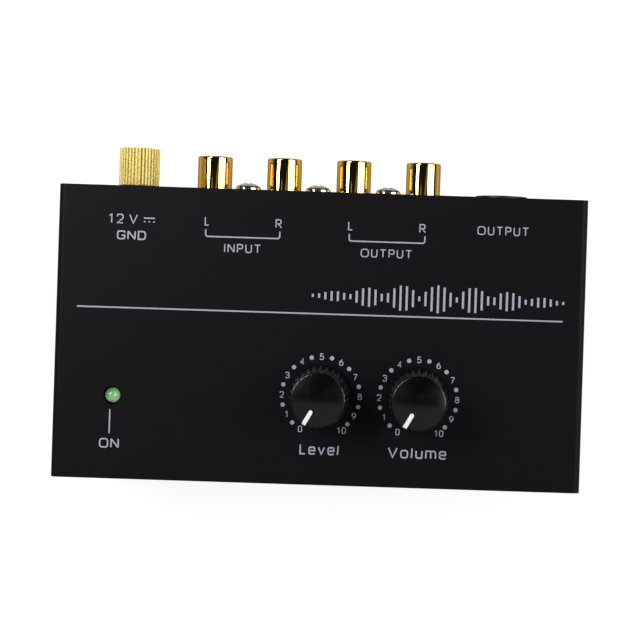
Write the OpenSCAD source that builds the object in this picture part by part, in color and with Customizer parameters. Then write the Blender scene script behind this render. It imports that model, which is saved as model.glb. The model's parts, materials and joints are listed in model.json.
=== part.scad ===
// Desktop phono preamp: a two-piece folded steel case, a row of phono sockets,
// a ground post, a power socket, a quarter-inch jack, two rotary controls and a
// pilot lamp, all on one circuit board. Millimetres, +Z up, +Y to the rear.
// The origin is the middle of the whole footprint, on the table.

/* [Case] */
// Width of the case over the cover's sides
case_w = 122; // [120:1:140]
// Depth of the case, front face to rear face
case_d = 67.5; // [64:0.5:76]
// Height of the case without its feet
case_h = 36; // [34:0.5:44]
// Thickness of the folded sheet
sheet = 1; // [0.8:0.1:1.4]
// Outer radius of the folds
bend_r = 1.6; // [1.5:0.1:3]
// Height of a rubber foot
foot_h = 2; // [1:0.5:5]
// Diameter of a rubber foot where it meets the case
foot_d = 8; // [6:1:14]
// Narrowing of a foot towards the table
foot_taper = 1; // [0:0.25:2]
// Distance of the feet in from the case's sides and ends
foot_inset = 11; // [9:1:16]

/* [Cover fixing] */
// Height of the tabs that take the cover's screws
tab_h = 7; // [6:0.5:10]
// Width of those tabs
tab_w = 12; // [8:1:18]
// Distance of the tabs from the middle, front and rear
tab_y = 19; // [14:1:22]
// Height of the cover's screws above the floor of the case
tab_screw_rise = 3.6; // [2.8:0.1:4]
// Shank length of the cover's screws
cover_screw_l = 4; // [3:0.5:6]

/* [Screws] */
// Shank diameter of the machine screws
screw_d = 3; // [2.5:0.1:3.5]
// Head diameter of the machine screws
head_d = 6; // [5:0.1:6.4]
// Head height of the machine screws
head_h = 2.4; // [1.6:0.1:2.6]
// Radius of the dome on a screw's head
head_dome_r = 4.4; // [4:0.1:6]
// Width of the slots in a screw's cross recess
recess_w = 0.7; // [0.5:0.1:1]
// Length of the slots in a screw's cross recess
recess_l = 3.2; // [2.5:0.1:3.8]
// Depth of the cross recess
recess_deep = 1.1; // [0.8:0.1:1.3]

/* [Circuit board] */
// Height of the standoffs under the board
standoff_h = 6.4; // [6:0.1:9]
// Diameter of a standoff
standoff_d = 5.5; // [4.5:0.1:6.5]
// Thickness of the board
board_t = 1.6; // [1:0.2:2.4]
// Gap between the board and the case's inner faces at the sides
board_side_gap = 3; // [2:0.2:3.4]
// Gap between the board and the front and rear panels
board_end_gap = 1.5; // [0.5:0.25:3]
// Distance of the board's screws in from its sides
hole_inset = 3.5; // [3.2:0.1:4]
// Distance of the board's screws in from its front and rear edges
hole_end_inset = 5.5; // [4:0.5:8]
// Shank length of the board's screws
board_screw_l = 6; // [4:0.5:7]

/* [Phono sockets] */
// Middle of the row of phono sockets, across the case
rca_x = -2.2; // [-3:0.1:0]
// Distance from socket to socket
rca_pitch = 16.8; // [15.6:0.1:17.3]
// Height of the sockets' axes above the board
rca_rise = 9; // [7:0.5:11]
// Height of the block above the sockets' axes
rca_block_up = 8; // [7:0.5:10]
// Depth of the block
rca_block_d = 11; // [10:0.5:12.5]
// Reach of the block past the outer sockets' axes
rca_block_side = 8.2; // [6.5:0.1:8.6]
// Height of the block's screws above the sockets' axes
rca_screw_rise = 2.5; // [0:0.5:4.5]
// Shank length of the block's screws
rca_screw_l = 8; // [6:0.5:10]
// Outer diameter of a socket's barrel
barrel_d = 8.3; // [7.8:0.1:9]
// Wall of a socket's barrel
barrel_t = 0.5; // [0.3:0.1:0.8]
// Reach of a barrel out of the rear panel
barrel_l = 8.5; // [7:0.1:10]
// Depth of a barrel in the block
barrel_root = 6; // [4:0.5:6.5]
// Step by which a barrel is fatter inside the block
barrel_step = 0.25; // [0.15:0.05:0.4]
// Rounding of a barrel's rim
barrel_lip = 0.35; // [0.2:0.05:0.4]
// Wall of the block's collar round a barrel
collar_t = 0.5; // [0.3:0.1:0.8]
// Reach of the collar out of the rear panel
collar_l = 0.3; // [0.1:0.1:0.8]
// Depth of the insulator in the block
insulator_root = 7.6; // [7:0.1:8]
// Depth of the insulator's face below the barrel's rim
insulator_sink = 0.6; // [0:0.1:0.9]
// Thickness of the insulator's lip in front of the contact
insulator_lip = 0.5; // [0.3:0.1:1]
// Bore of the spring contact in a socket
contact_d = 3.2; // [2.8:0.1:3.6]
// Wall of the spring contact
contact_t = 0.4; // [0.25:0.05:0.6]
// Depth of the contact in the block
contact_root = 9.2; // [8.5:0.1:9.5]
// Length of the stretch of the contact that grips the plug's pin
contact_grip = 6.5; // [5:0.1:6.8]
// Step by which the contact is wider inside, behind that stretch
contact_relief = 0.2; // [0.16:0.01:0.24]
// Width of the slit that lets the contact spring
slit_w = 0.4; // [0.2:0.1:0.6]
// Length of that slit
slit_l = 6; // [4:0.5:10]
// Width of a solder leg
leg_w = 2; // [1:0.1:2.5]
// Thickness of a solder leg
leg_t = 0.5; // [0.3:0.1:0.8]

/* [Ground post] */
// Distance of the ground post and the power socket from the case's left side
left_inset = 16.5; // [15.7:0.1:17.5]
// Height of the post's axis above the power socket's axis
ground_rise = 9.5; // [8.8:0.1:13]
// Diameter of the threaded stud
stud_d = 4; // [3:0.5:5]
// Length of the stud inside the case
stud_in = 6; // [4:0.5:10]
// Gap between the stud's end and the end of the thumb nut's thread
stud_short = 1; // [0.5:0.1:3]
// Width across the flats of the nut that holds the stud
stud_nut_af = 7; // [6.5:0.5:8]
// Height of that nut
stud_nut_h = 2.4; // [1.8:0.1:3]
// Width of the ground lug's ring outside the stud
lug_ring = 1.5; // [1:0.1:2]
// Thickness of the ground lug
lug_t = 0.5; // [0.3:0.1:0.8]
// Length of the lug's tail
lug_tail = 3.4; // [3:0.1:4]
// Length of the tab on the lug's tail that takes the wire
lug_tab = 2.4; // [1.5:0.1:4]
// Diameter of the ground wire
wire_d = 1.3; // [0.8:0.1:1.6]
// Radius of the ground wire's bend
wire_bend = 4; // [2.5:0.5:5]
// Depth behind the rear panel at which the ground wire turns down
wire_back = 16; // [14:0.5:17]
// Diameter of the thumb nut over its ribs
thumb_d = 9.5; // [8.5:0.5:11]
// Length of the thumb nut
thumb_l = 8.8; // [7:0.2:11]
// Number of ribs round the thumb nut
thumb_ribs = 36; // [24:1:48]
// Depth of the ribs
rib_depth = 0.35; // [0.2:0.05:0.5]
// Thickness of the thumb nut's closed end
thumb_cap = 1.2; // [0.8:0.1:2]
// Diameter of the washer held on the thumb nut
washer_d = 8; // [7:0.5:9]
// Thickness of that washer
washer_t = 0.5; // [0.4:0.1:1]

/* [Power socket] */
// Height of the power socket's axis above the board
dc_rise = 6.5; // [5.6:0.1:8]
// Bore of the power socket
dc_bore_d = 6.3; // [5.8:0.1:6.6]
// Depth of that bore
dc_depth = 10; // [10:0.1:11.5]
// Width of the socket's housing
dc_body_w = 9; // [8.6:0.1:9.4]
// Depth of the socket's housing
dc_body_d = 14.2; // [13:0.1:15]
// Height of the housing above the socket's axis
dc_body_up = 4.5; // [4:0.1:4.6]
// Diameter of the power socket's centre pin
dc_pin_d = 2.1; // [1.7:0.1:2.5]
// Depth of the pin's tip behind the rear panel
dc_pin_sink = 1.2; // [0:0.1:2]
// Step by which the pin is thinner in the housing's back wall
dc_pin_step = 0.25; // [0.1:0.05:0.4]
// Width of the leaf that feels the plug's barrel
dc_leaf_w = 2.2; // [1.5:0.1:3]
// Thickness of that leaf
dc_leaf_t = 0.3; // [0.2:0.05:0.4]
// Length of that leaf
dc_leaf_l = 8; // [6:0.1:8.2]
// Height of that leaf's root above the board
dc_leaf_rise = 1.2; // [1.1:0.1:1.6]
// Reach of that leaf into the bore
dc_leaf_dip = 0.4; // [0.2:0.1:0.6]

/* [Quarter-inch jack] */
// Distance of the jack from the case's right side
jack_inset = 19; // [18.8:0.1:21]
// Height of the jack's axis above the board
jack_rise = 9; // [8:0.2:10.6]
// Half width of the jack's housing
jack_side = 7.5; // [7.2:0.1:7.8]
// Length of the housing
jack_l = 31; // [30:0.5:32]
// Height of the housing's walls above the jack's axis
jack_up = 7.2; // [6.5:0.1:9]
// Thickness of the lid over the housing
jack_lid_t = 0.8; // [0.5:0.1:1.5]
// Side walls of the housing
jack_wall = 1.1; // [0.8:0.1:1.2]
// Floor of the housing
jack_floor = 1.5; // [1:0.1:2]
// Thickness of the housing's front wall, round the bore
jack_front = 7; // [5:0.5:7.5]
// Thickness of the housing's back wall
jack_back = 1.6; // [1:0.1:2.5]
// Bore of the jack
jack_bore_d = 6.5; // [6.4:0.05:6.7]
// Wall of the metal sleeve in that bore
sleeve_t = 0.4; // [0.3:0.1:0.8]
// Depth of the sleeve's rim below the nose's face
sleeve_sink = 0.3; // [0:0.1:0.5]
// Reach of the sleeve's wider mouth behind the rear panel's inner face
mouth_in = 0.2; // [0.1:0.1:1]
// Step by which that mouth is wider than the bore
mouth_step = 0.2; // [0.16:0.01:0.28]
// Diameter of the jack's nose
nose_d = 12.5; // [11:0.1:14]
// Reach of the nose out of the rear panel
nose_l = 1.1; // [0.6:0.1:3]
// Distance of the contact leaves from the plug's axis
leaf_x = 4.6; // [4.4:0.05:4.8]
// Thickness of a contact leaf
leaf_t = 0.3; // [0.2:0.05:0.4]
// Height of a contact leaf
leaf_h = 3.6; // [2.5:0.1:5]
// Half length of the crest that a leaf presses on the plug
leaf_crest = 2.35; // [1.8:0.05:2.6]
// Reach of the crest into the plug's path
leaf_dip = 0.95; // [0.6:0.05:1]
// Radius of the pin on which a leaf turns
leaf_pin_r = 0.45; // [0.35:0.05:0.6]
// Depth of the tip leaf's pin behind the rear panel
tip_pin_back = 13; // [12:0.5:14]
// Depth of the tip leaf's crest behind the rear panel
tip_back = 23.65; // [22.5:0.05:24.5]
// Depth of the ring leaf's pin behind the rear panel
ring_pin_back = 9; // [8.4:0.1:9.5]
// Depth of the ring leaf's crest behind the rear panel
ring_back = 18.35; // [17:0.05:19]

/* [Controls] */
// Place of the left control, across the case
level_x = 0.75; // [-1:0.05:2]
// Distance between the two controls
knob_pitch = 22.4; // [20:0.1:24]
// Distance of the controls from the front edge
knob_front = 20.6; // [18:0.1:24]
// Diameter of a knob at its top
knob_top_d = 12.2; // [11:0.1:13.4]
// Diameter of a knob at its foot
knob_foot_d = 14.6; // [13:0.1:16]
// Height of a knob
knob_h = 13.4; // [10:0.1:16]
// Gap under a knob
knob_lift = 0.6; // [0.4:0.1:1.5]
// Radius of the dome on a knob's top
dome_r = 24; // [16:1:60]
// Number of flutes round a knob
flutes = 28; // [18:1:32]
// Radius of a flute
flute_r = 0.55; // [0.4:0.05:0.65]
// Depth of a flute
flute_depth = 0.32; // [0.2:0.02:0.5]
// Skirt wall of a knob at its top
knob_wall = 1.4; // [1.2:0.1:1.6]
// Thickness of a knob's top
knob_roof = 2.2; // [1.5:0.1:3]
// Wall of the boss round the shaft
boss_t = 1.3; // [0.8:0.1:1.5]
// Length of shaft below the knob's top that the knob covers
shaft_cover = 2.6; // [2.4:0.1:5]
// Angle from the front at which a knob's pointer rests
pointer_rest = 29; // [20:1:40]
// Width of a pointer
pointer_w = 0.9; // [0.5:0.1:1.5]
// Distance of a pointer's inner end from the knob's axis
pointer_start = 2.5; // [1:0.1:4]
// Depth of a pointer in the knob
pointer_deep = 0.5; // [0.3:0.1:0.8]
// Height of a pointer above the knob's surface
pointer_proud = 0.1; // [0.05:0.05:0.2]
// Length of a pointer down the knob's side
pointer_drop = 3.4; // [2:0.1:6]
// Turn of a control from stop to stop
control_turn = 300; // [270:5:310]

/* [Control insides] */
// Diameter of a control's shaft
shaft_d = 6; // [5.5:0.1:6.4]
// Step by which the shaft is thinner inside the control
shaft_step = 0.9; // [0.6:0.1:1.2]
// Distance of the shaft's flat from its axis
shaft_flat = 1.5; // [1.2:0.1:2.2]
// Width of a control
pot_w = 9.8; // [9.6:0.1:10.5]
// Depth of a control, front to rear
pot_l = 12; // [10.5:0.1:12.4]
// Height of a control's housing
pot_h = 9.2; // [7:0.1:12]
// Thinnest wall of a control's housing
pot_wall = 0.7; // [0.5:0.1:0.8]
// Floor of a control's housing
pot_floor = 1.4; // [0.8:0.1:2]
// Thickness of a control's metal cover
pot_cover_t = 0.8; // [0.4:0.1:1]
// Half width of the cover's side straps
strap_half = 1.4; // [1:0.1:3]
// Wall of the bushing round the shaft
bushing_t = 0.9; // [0.6:0.1:1.2]
// Length of the bushing
bushing_l = 6; // [4:0.5:8]
// Thickness of the resistance wafer
wafer_t = 1; // [0.6:0.1:1.5]
// Radius of the wafer's centre hole
wafer_hole_r = 1.6; // [1:0.1:1.7]
// Radius of the rotor
rotor_r = 3.1; // [3:0.05:3.2]
// Height of the rotor
rotor_h = 2.6; // [2:0.1:3.5]
// Half angle of the rotor's lug
lug_half = 10; // [6:1:12]
// Width of a control's solder pin
pin_w = 0.8; // [0.5:0.1:1]
// Thickness of a control's solder pin
pin_t = 0.4; // [0.3:0.1:0.6]
// Distance between neighbouring solder pins
pin_pitch = 2.5; // [2:0.1:3.5]

/* [Pilot lamp] */
// Distance of the lamp from the case's left side
lamp_inset = 13.9; // [13:0.1:20]
// Distance of the lamp from the front edge
lamp_front = 19.2; // [17:0.1:21]
// Diameter of the lamp
lamp_d = 3.5; // [3:0.1:4.4]
// Depth at which the lamp's dome starts, below the case's top
lamp_sink = 0.6; // [0:0.1:2]
// Length of the lamp's body below its dome
lamp_l = 4.5; // [3:0.1:6]
// Step by which the lamp's flange is wider than the lamp
lamp_step = 0.35; // [0.2:0.05:0.5]
// Thickness of the lamp's flange
lamp_flange_h = 1; // [0.6:0.1:1.5]
// Diameter of the lamp's leads
lead_d = 0.5; // [0.4:0.1:0.7]
// Distance between the lamp's leads
lead_pitch = 2.54; // [2:0.01:2.6]

/* [Clearances] */
// Slack between fixed pieces that nest
seat_gap = 0.05; // [0.03:0.01:0.1]
// Slack between pieces that turn in each other
run_gap = 0.05; // [0.03:0.01:0.1]
// Slack round a screw, stud, socket or nose where it passes a panel
pass_gap = 0.2; // [0.1:0.05:0.3]
// Slack round the lamp in the cover
lamp_gap = 0.35; // [0.1:0.05:0.5]
// Slack round a control's shaft in the cover
shaft_gap = 1; // [0.4:0.1:2]
// Slack between the cover's sides and the chassis, each side
cover_gap = 0.2; // [0.1:0.05:0.5]
// Slack between pieces of a control or jack that move past each other
part_gap = 0.3; // [0.2:0.05:0.4]

/* [Hidden] */
$fn = 48;

// How far a cutter reaches past the face that it opens
over = 1;

// Heights
base_z = foot_h;
floor_z = base_z + sheet;
top_z = base_z + case_h;
roof_z = top_z - sheet;
board_z = floor_z + standoff_h;
board_top = board_z + board_t;
tab_screw_z = floor_z + tab_screw_rise;

// Depths and half widths
side_x = case_w / 2;
rear_y = case_d / 2;
rear_in = rear_y - sheet;
chassis_x = side_x - sheet - cover_gap;
board_x = side_x - sheet - board_side_gap;
board_y = rear_in - board_end_gap;

// Phono sockets, counted from the left: input left, input right, output left, output right
rca_z = board_top + rca_rise;
rca_slots = [-1.5, -0.5, 0.5, 1.5];
screw_slots = [-1, 0, 1];
barrel_r = barrel_d / 2;
barrel_in = barrel_r - barrel_t;
flange_r = barrel_r + barrel_step;
collar_r = flange_r + collar_t;
contact_r = contact_d / 2;
contact_out = contact_r + contact_t;
insulator_front = rear_y + barrel_l - insulator_sink;
contact_front = insulator_front - insulator_lip - part_gap;

// Power socket and ground post
left_x = -side_x + left_inset;
dc_z = board_top + dc_rise;
dc_pin_r = dc_pin_d / 2;
dc_leaf_y = rear_in - dc_depth + part_gap;
ground_z = dc_z + ground_rise;
lug_y = rear_in - stud_nut_h - lug_t;
wire_x = left_x + stud_d / 2 + lug_tail + wire_d / 2;

// Quarter-inch jack
jack_x = side_x - jack_inset;
jack_z = board_top + jack_rise;
jack_r = jack_bore_d / 2;
jack_h = jack_rise + jack_up;

// Controls
volume_x = level_x + knob_pitch;
knob_y = -rear_y + knob_front;
knob_z = top_z + knob_lift;
shaft_r = shaft_d / 2;
neck_r = shaft_r - shaft_step;
shaft_top = knob_z + knob_h - shaft_cover;
pot_in = pot_w / 2 - pot_wall;
pot_lid_z = board_top + pot_h;
rotor_z = pot_lid_z - rotor_h - part_gap;
wafer_z = board_top + pot_floor;
stop_angle = (360 - control_turn) / 2;
lug_out = pot_in - part_gap;
stop_in = rotor_r + part_gap;
// Angle that the slack between lug and stop takes up at the stop's inner edge
slack_angle = atan(part_gap / stop_in);
stop_half = stop_angle - lug_half - slack_angle;

// Pilot lamp
lamp_x = -side_x + lamp_inset;
lamp_y = -rear_y + lamp_front;
lamp_r = lamp_d / 2;
lamp_z = top_z - lamp_sink;
lamp_foot_z = lamp_z - lamp_l;

// The footprint runs from the front panel to the rearmost of the barrels and the thumb nut
rear_reach = max(washer_t + thumb_l, barrel_l);

// Rows of loose parts on the board: between the phono block and the controls
can_row_y = rear_in - rca_block_d - 7.5;
chip_row_y = can_row_y - 8.75;
film_row_y = chip_row_y - 8;
edge_row_y = -board_y + 3;
power_y = chip_row_y + 2.5;

// Capacitor cans, each with its place, diameter and height
CANS = concat(
  [for (i = [0:3]) [level_x - 31.75 + 8 * i, can_row_y, i < 2 ? 6.3 : 5, 11]],
  [for (i = [0:1]) [volume_x + 18.4, knob_y + 5.2 - 9 * i, 6.3, 11]],
  [[left_x - 1.5, power_y - 11, 8, 12], [left_x + 8, power_y - 11, 6.3, 11]]
);
FILMS = [for (i = [0:1], row = [0:1]) [level_x - 21.75 + 10 * i, film_row_y - 4.5 * row]];
CHIPS = [for (dx = [-27.75, -10.75, 13.25]) [level_x + dx, chip_row_y]];
RESISTORS = concat(
  [for (i = [0:3]) [level_x - 32.75, film_row_y - 5.5 - 3.5 * i]],
  [for (i = [0:6]) [level_x - 20.75 + 8 * i, edge_row_y]],
  [for (i = [-1:2]) [volume_x + 11.2, knob_y + 3.5 * i]],
  [for (at = [[-9, 8.5], [-1, 8.5], [2, 0]]) [volume_x + at[0], chip_row_y + at[1]]]
);
REGULATOR = [left_x - 0.5, power_y];
DIODE = [left_x - 8.5, power_y];

// ---------- shared shapes ----------

// Moves the case's own frame so that the origin is the middle of the footprint
module place() {
  translate([0, -rear_reach / 2, 0]) children();
}

// A child drawn along +Z turns to run along +Y from the point given
module rearward(x, y, z) {
  translate([x, y, z]) rotate([-90, 0, 0]) children();
}

// Flat outline of a folded channel: open side down, rounded top corners
module channel_outline(w, h, r, t) {
  difference() {
    rounded_top(w, h, r);
    translate([0, -over]) rounded_top(w - 2 * t, h - t + over, r - t);
  }
}

module rounded_top(w, h, r) {
  translate([-w / 2, 0]) square([w, h - r]);
  translate([-w / 2 + r, 0]) square([w - 2 * r, h]);
  for (side = [-1, 1]) translate([side * (w / 2 - r), h - r]) circle(r);
}

// Points of a piece of a ring between two radii, centred on the X axis
function sector_points(inner, outer, half) = concat(
  [for (a = [-half, 0, half]) inner * [cos(a), sin(a)]],
  [for (a = [half, 0, -half]) outer * [cos(a), sin(a)]]
);

// Pan-head machine screw along +Z, with its head above z = 0 and a cross recess
module pan_screw(length) {
  difference() {
    union() {
      intersection() {
        cylinder(d = head_d, h = head_h);
        translate([0, 0, head_h - head_dome_r]) sphere(head_dome_r, $fn = 64);
      }
      translate([0, 0, -length]) cylinder(d = screw_d, h = length + head_h / 4);
    }
    for (turn = [0, 90])
      rotate(turn) translate([-recess_l / 2, -recess_w / 2, head_h - recess_deep])
        cube([recess_l, recess_w, recess_deep + over]);
  }
}

// ---------- case ----------

// The four places of the cover's screws, with +Z turned outwards
module at_tab_screws(x) {
  for (side = [-1, 1], y = [-tab_y, tab_y])
    translate([side * x, y, tab_screw_z]) rotate([0, 90 * side, 0]) children();
}

module top_cover() {
  color("#1c1b1d") difference() {
    translate([0, rear_y, base_z]) rotate([90, 0, 0])
      linear_extrude(case_d) channel_outline(case_w, case_h, bend_r, sheet);
    for (x = [level_x, volume_x])
      translate([x, knob_y, roof_z - over]) cylinder(r = shaft_r + shaft_gap, h = sheet + 2 * over);
    translate([lamp_x, lamp_y, roof_z - over]) cylinder(r = lamp_r + lamp_gap, h = sheet + 2 * over);
    at_tab_screws(side_x - sheet - over) cylinder(d = screw_d + 2 * pass_gap, h = sheet + 2 * over);
  }
}

module chassis() {
  wall_h = case_h - sheet;
  color("#1b1a1c") difference() {
    union() {
      // The channel lies on its back: its web is the floor, its sides the front and rear panels,
      // with their top corners rounded to fit inside the cover's folds
      intersection() {
        translate([-chassis_x, 0, base_z + wall_h]) rotate([90, 0, 90]) mirror([0, 1, 0])
          linear_extrude(2 * chassis_x) channel_outline(case_d, wall_h, bend_r, sheet);
        translate([0, rear_y, base_z]) rotate([90, 0, 0])
          linear_extrude(case_d) rounded_top(2 * chassis_x, wall_h, bend_r - sheet);
      }
      for (side = [-1, 1], y = [-tab_y, tab_y])
        translate([side < 0 ? -chassis_x : chassis_x - sheet, y - tab_w / 2, floor_z - sheet / 2])
          cube([sheet, tab_w, tab_h + sheet / 2]);
    }
    for (slot = rca_slots) panel_hole(rca_x + slot * rca_pitch, rca_z, collar_r);
    for (slot = screw_slots) panel_hole(rca_x + slot * rca_pitch, rca_z + rca_screw_rise, screw_d / 2);
    panel_hole(left_x, ground_z, stud_d / 2);
    panel_hole(left_x, dc_z, dc_bore_d / 2);
    panel_hole(jack_x, jack_z, nose_d / 2);
    at_tab_screws(chassis_x - sheet - over) cylinder(d = screw_d + 2 * seat_gap, h = sheet + 2 * over);
  }
}

// Hole in the rear panel for a round piece of radius r, with the slack it needs
module panel_hole(x, z, r) {
  rearward(x, rear_in - over, z) cylinder(r = r + pass_gap, h = sheet + 2 * over);
}

module cover_screws() {
  color("#2a2a2c") at_tab_screws(side_x) pan_screw(cover_screw_l);
}

module rubber_feet() {
  foot_x = side_x - foot_inset;
  foot_y = rear_y - foot_inset;
  color("#141414") for (x = [-foot_x, foot_x], y = [-foot_y, foot_y])
    translate([x, y, 0]) cylinder(d1 = foot_d - foot_taper, d2 = foot_d, h = foot_h);
}

// ---------- circuit board ----------

module at_board_holes(z) {
  hole_x = board_x - hole_inset;
  hole_y = board_y - hole_end_inset;
  for (x = [-hole_x, hole_x], y = [-hole_y, hole_y]) translate([x, y, z]) children();
}

module board_standoffs() {
  color("silver") difference() {
    at_board_holes(floor_z) cylinder(d = standoff_d, h = standoff_h);
    at_board_holes(floor_z - over) cylinder(d = screw_d + 2 * seat_gap, h = standoff_h + 2 * over);
  }
}

module circuit_board() {
  color("#1f6b3a") difference() {
    translate([-board_x, -board_y, board_z]) cube([2 * board_x, 2 * board_y, board_t]);
    at_board_holes(board_z - over) cylinder(d = screw_d + 2 * pass_gap, h = board_t + 2 * over);
  }
}

module board_screws() {
  color("silver") at_board_holes(board_top) pan_screw(board_screw_l);
}

// ---------- phono sockets ----------

module rca_housing() {
  half = 1.5 * rca_pitch + rca_block_side;
  color("#171718") difference() {
    union() {
      translate([rca_x - half, rear_in - rca_block_d, board_top])
        cube([2 * half, rca_block_d, rca_rise + rca_block_up]);
      for (slot = rca_slots)
        rearward(rca_x + slot * rca_pitch, rear_in - over, rca_z)
          cylinder(r = collar_r, h = over + sheet + collar_l);
    }
    for (slot = rca_slots) {
      x = rca_x + slot * rca_pitch;
      socket_step(x, barrel_root, flange_r + seat_gap);
      socket_step(x, insulator_root, barrel_in);
      socket_step(x, contact_root, contact_out + seat_gap);
      leg_slot(x, barrel_root);
      leg_slot(x, contact_root);
    }
    for (slot = screw_slots)
      rearward(rca_x + slot * rca_pitch, rear_y - rca_screw_l - over / 2, rca_z + rca_screw_rise)
        cylinder(d = screw_d + 2 * seat_gap, h = rca_screw_l + over);
  }
}

// One step of the hole in the block, from the depth given out through the collar
module socket_step(x, deep, r) {
  rearward(x, rear_in - deep - seat_gap, rca_z) cylinder(r = r, h = deep + sheet + collar_l + over);
}

// Slot in the block for a solder leg that drops from a socket to the board
module leg_slot(x, deep) {
  translate([x - leg_w / 2 - seat_gap, rear_in - deep - seat_gap, board_top - over])
    cube([leg_w + 2 * seat_gap, leg_t + 2 * seat_gap, rca_rise + over]);
}

// Solder leg from the underside of a tube of radius r down to the board
module solder_leg(x, deep, r) {
  translate([x - leg_w / 2, rear_in - deep, board_top]) cube([leg_w, leg_t, rca_rise - r]);
}

module rca_barrel(index) {
  x = rca_x + rca_slots[index] * rca_pitch;
  stem = barrel_root + sheet + collar_l;
  length = barrel_root + sheet + barrel_l;
  color("gold") {
    rearward(x, rear_in - barrel_root, rca_z) rotate_extrude() polygon([
      [barrel_in, 0], [flange_r, 0], [flange_r, stem], [barrel_r, stem], [barrel_r, length - barrel_lip],
      [barrel_r - barrel_lip * 0.3, length - barrel_lip * 0.3], [barrel_r - barrel_lip * 0.8, length],
      [barrel_in, length]
    ]);
    solder_leg(x, barrel_root, barrel_in + barrel_t / 2);
  }
}

module rca_insulator(index) {
  x = rca_x + rca_slots[index] * rca_pitch;
  back = rear_in - insulator_root;
  length = insulator_front - back;
  color(index % 2 == 0 ? "white" : "firebrick") difference() {
    rearward(x, back, rca_z) cylinder(r = barrel_in - seat_gap, h = length);
    rearward(x, back - over, rca_z) cylinder(r = contact_out + seat_gap, h = length + over - insulator_lip);
    rearward(x, back, rca_z) cylinder(r = contact_r + seat_gap, h = length + over);
  }
}

module rca_contact(index) {
  x = rca_x + rca_slots[index] * rca_pitch;
  back = rear_in - contact_root;
  length = contact_front - back;
  color("silver") {
    difference() {
      rearward(x, back, rca_z) cylinder(r = contact_out, h = length);
      rearward(x, back + contact_t, rca_z) cylinder(r = contact_r, h = length);
      rearward(x, back + contact_t, rca_z)
        cylinder(r = contact_r + contact_relief, h = length - contact_t - contact_grip);
      translate([x - slit_w / 2, contact_front - slit_l, rca_z - contact_out - over])
        cube([slit_w, slit_l + over, 2 * (contact_out + over)]);
    }
    solder_leg(x, contact_root, contact_r + contact_t / 2);
  }
}

module rca_screws() {
  color("silver") for (slot = screw_slots)
    rearward(rca_x + slot * rca_pitch, rear_y, rca_z + rca_screw_rise) pan_screw(rca_screw_l);
}

// ---------- ground post ----------

module ground_stud() {
  stud_out = washer_t + thumb_l - thumb_cap - stud_short;
  color("goldenrod") rearward(left_x, rear_in - stud_in, ground_z)
    cylinder(d = stud_d, h = stud_in + sheet + stud_out);
}

module ground_stud_nut() {
  color("silver") rearward(left_x, rear_in - stud_nut_h, ground_z) difference() {
    cylinder(d = stud_nut_af / cos(30), h = stud_nut_h, $fn = 6);
    translate([0, 0, -over]) cylinder(d = stud_d + 2 * seat_gap, h = stud_nut_h + 2 * over);
  }
}

// Ring on the stud with a tail, and a tab on the tail that takes the wire
module ground_lug() {
  tail_x = left_x + stud_d / 2;
  color("silver") difference() {
    union() {
      rearward(left_x, lug_y, ground_z) cylinder(r = stud_d / 2 + lug_ring, h = lug_t);
      translate([tail_x, lug_y, ground_z - wire_d / 2]) cube([lug_tail + wire_d, lug_t, wire_d]);
      translate([tail_x + lug_tail, lug_y - lug_tab, ground_z - wire_d / 2])
        cube([wire_d, lug_tab + lug_t, wire_d]);
    }
    rearward(left_x, lug_y - over, ground_z) cylinder(d = stud_d + 2 * seat_gap, h = lug_t + 2 * over);
  }
}

// Wire from the lug's tab, forward beside the power socket and down to the board
module ground_wire() {
  start_y = lug_y - lug_tab;
  turn_y = rear_in - wire_back;
  color("#2f7d3b") translate([wire_x, 0, 0]) {
    rearward(0, turn_y, ground_z) cylinder(d = wire_d, h = start_y - turn_y);
    translate([0, turn_y, ground_z - wire_bend]) rotate([90, 0, -90])
      rotate_extrude(angle = 90) translate([wire_bend, 0]) circle(d = wire_d);
    translate([0, turn_y - wire_bend, board_top]) cylinder(d = wire_d, h = ground_z - wire_bend - board_top);
  }
}

module ground_washer() {
  color("goldenrod") rearward(left_x, rear_y, ground_z) difference() {
    cylinder(d = washer_d, h = washer_t);
    translate([0, 0, -over]) cylinder(r = stud_d / 2 + pass_gap, h = washer_t + 2 * over);
  }
}

// Outline of the ribbed nut: ridges and hollows take turns round the rim
function rib_points(r, n, deep) =
  [for (i = [0:2 * n - 1]) let (a = i * 180 / n, q = r - (i % 2) * deep) [q * cos(a), q * sin(a)]];

module ground_thumb_nut() {
  color("gold") rearward(left_x, rear_y + washer_t, ground_z) difference() {
    linear_extrude(thumb_l) polygon(rib_points(thumb_d / 2, thumb_ribs, rib_depth));
    translate([0, 0, -over]) cylinder(r = stud_d / 2 + run_gap, h = thumb_l - thumb_cap + over);
  }
}

// ---------- power socket ----------

module dc_socket_body() {
  well_w = dc_leaf_w + 2 * pass_gap;
  well_rise = dc_leaf_rise - part_gap;
  color("#19191a") difference() {
    translate([left_x - dc_body_w / 2, rear_in - dc_body_d, board_top])
      cube([dc_body_w, dc_body_d, dc_rise + dc_body_up]);
    rearward(left_x, rear_in - dc_depth, dc_z) cylinder(d = dc_bore_d, h = dc_depth + over);
    rearward(left_x, rear_in - dc_body_d - over, dc_z)
      cylinder(r = dc_pin_r - dc_pin_step + seat_gap, h = dc_body_d);
    // Well under the bore for the leaf, and a slot in its floor for the leaf's tail
    translate([left_x - well_w / 2, dc_leaf_y - pass_gap, board_top + well_rise])
      cube([well_w, dc_leaf_l + 2 * pass_gap, dc_rise - well_rise]);
    translate([left_x - well_w / 2, dc_leaf_y - seat_gap, board_top - over])
      cube([well_w, dc_leaf_t + 2 * seat_gap, well_rise + 2 * over]);
  }
}

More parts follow.
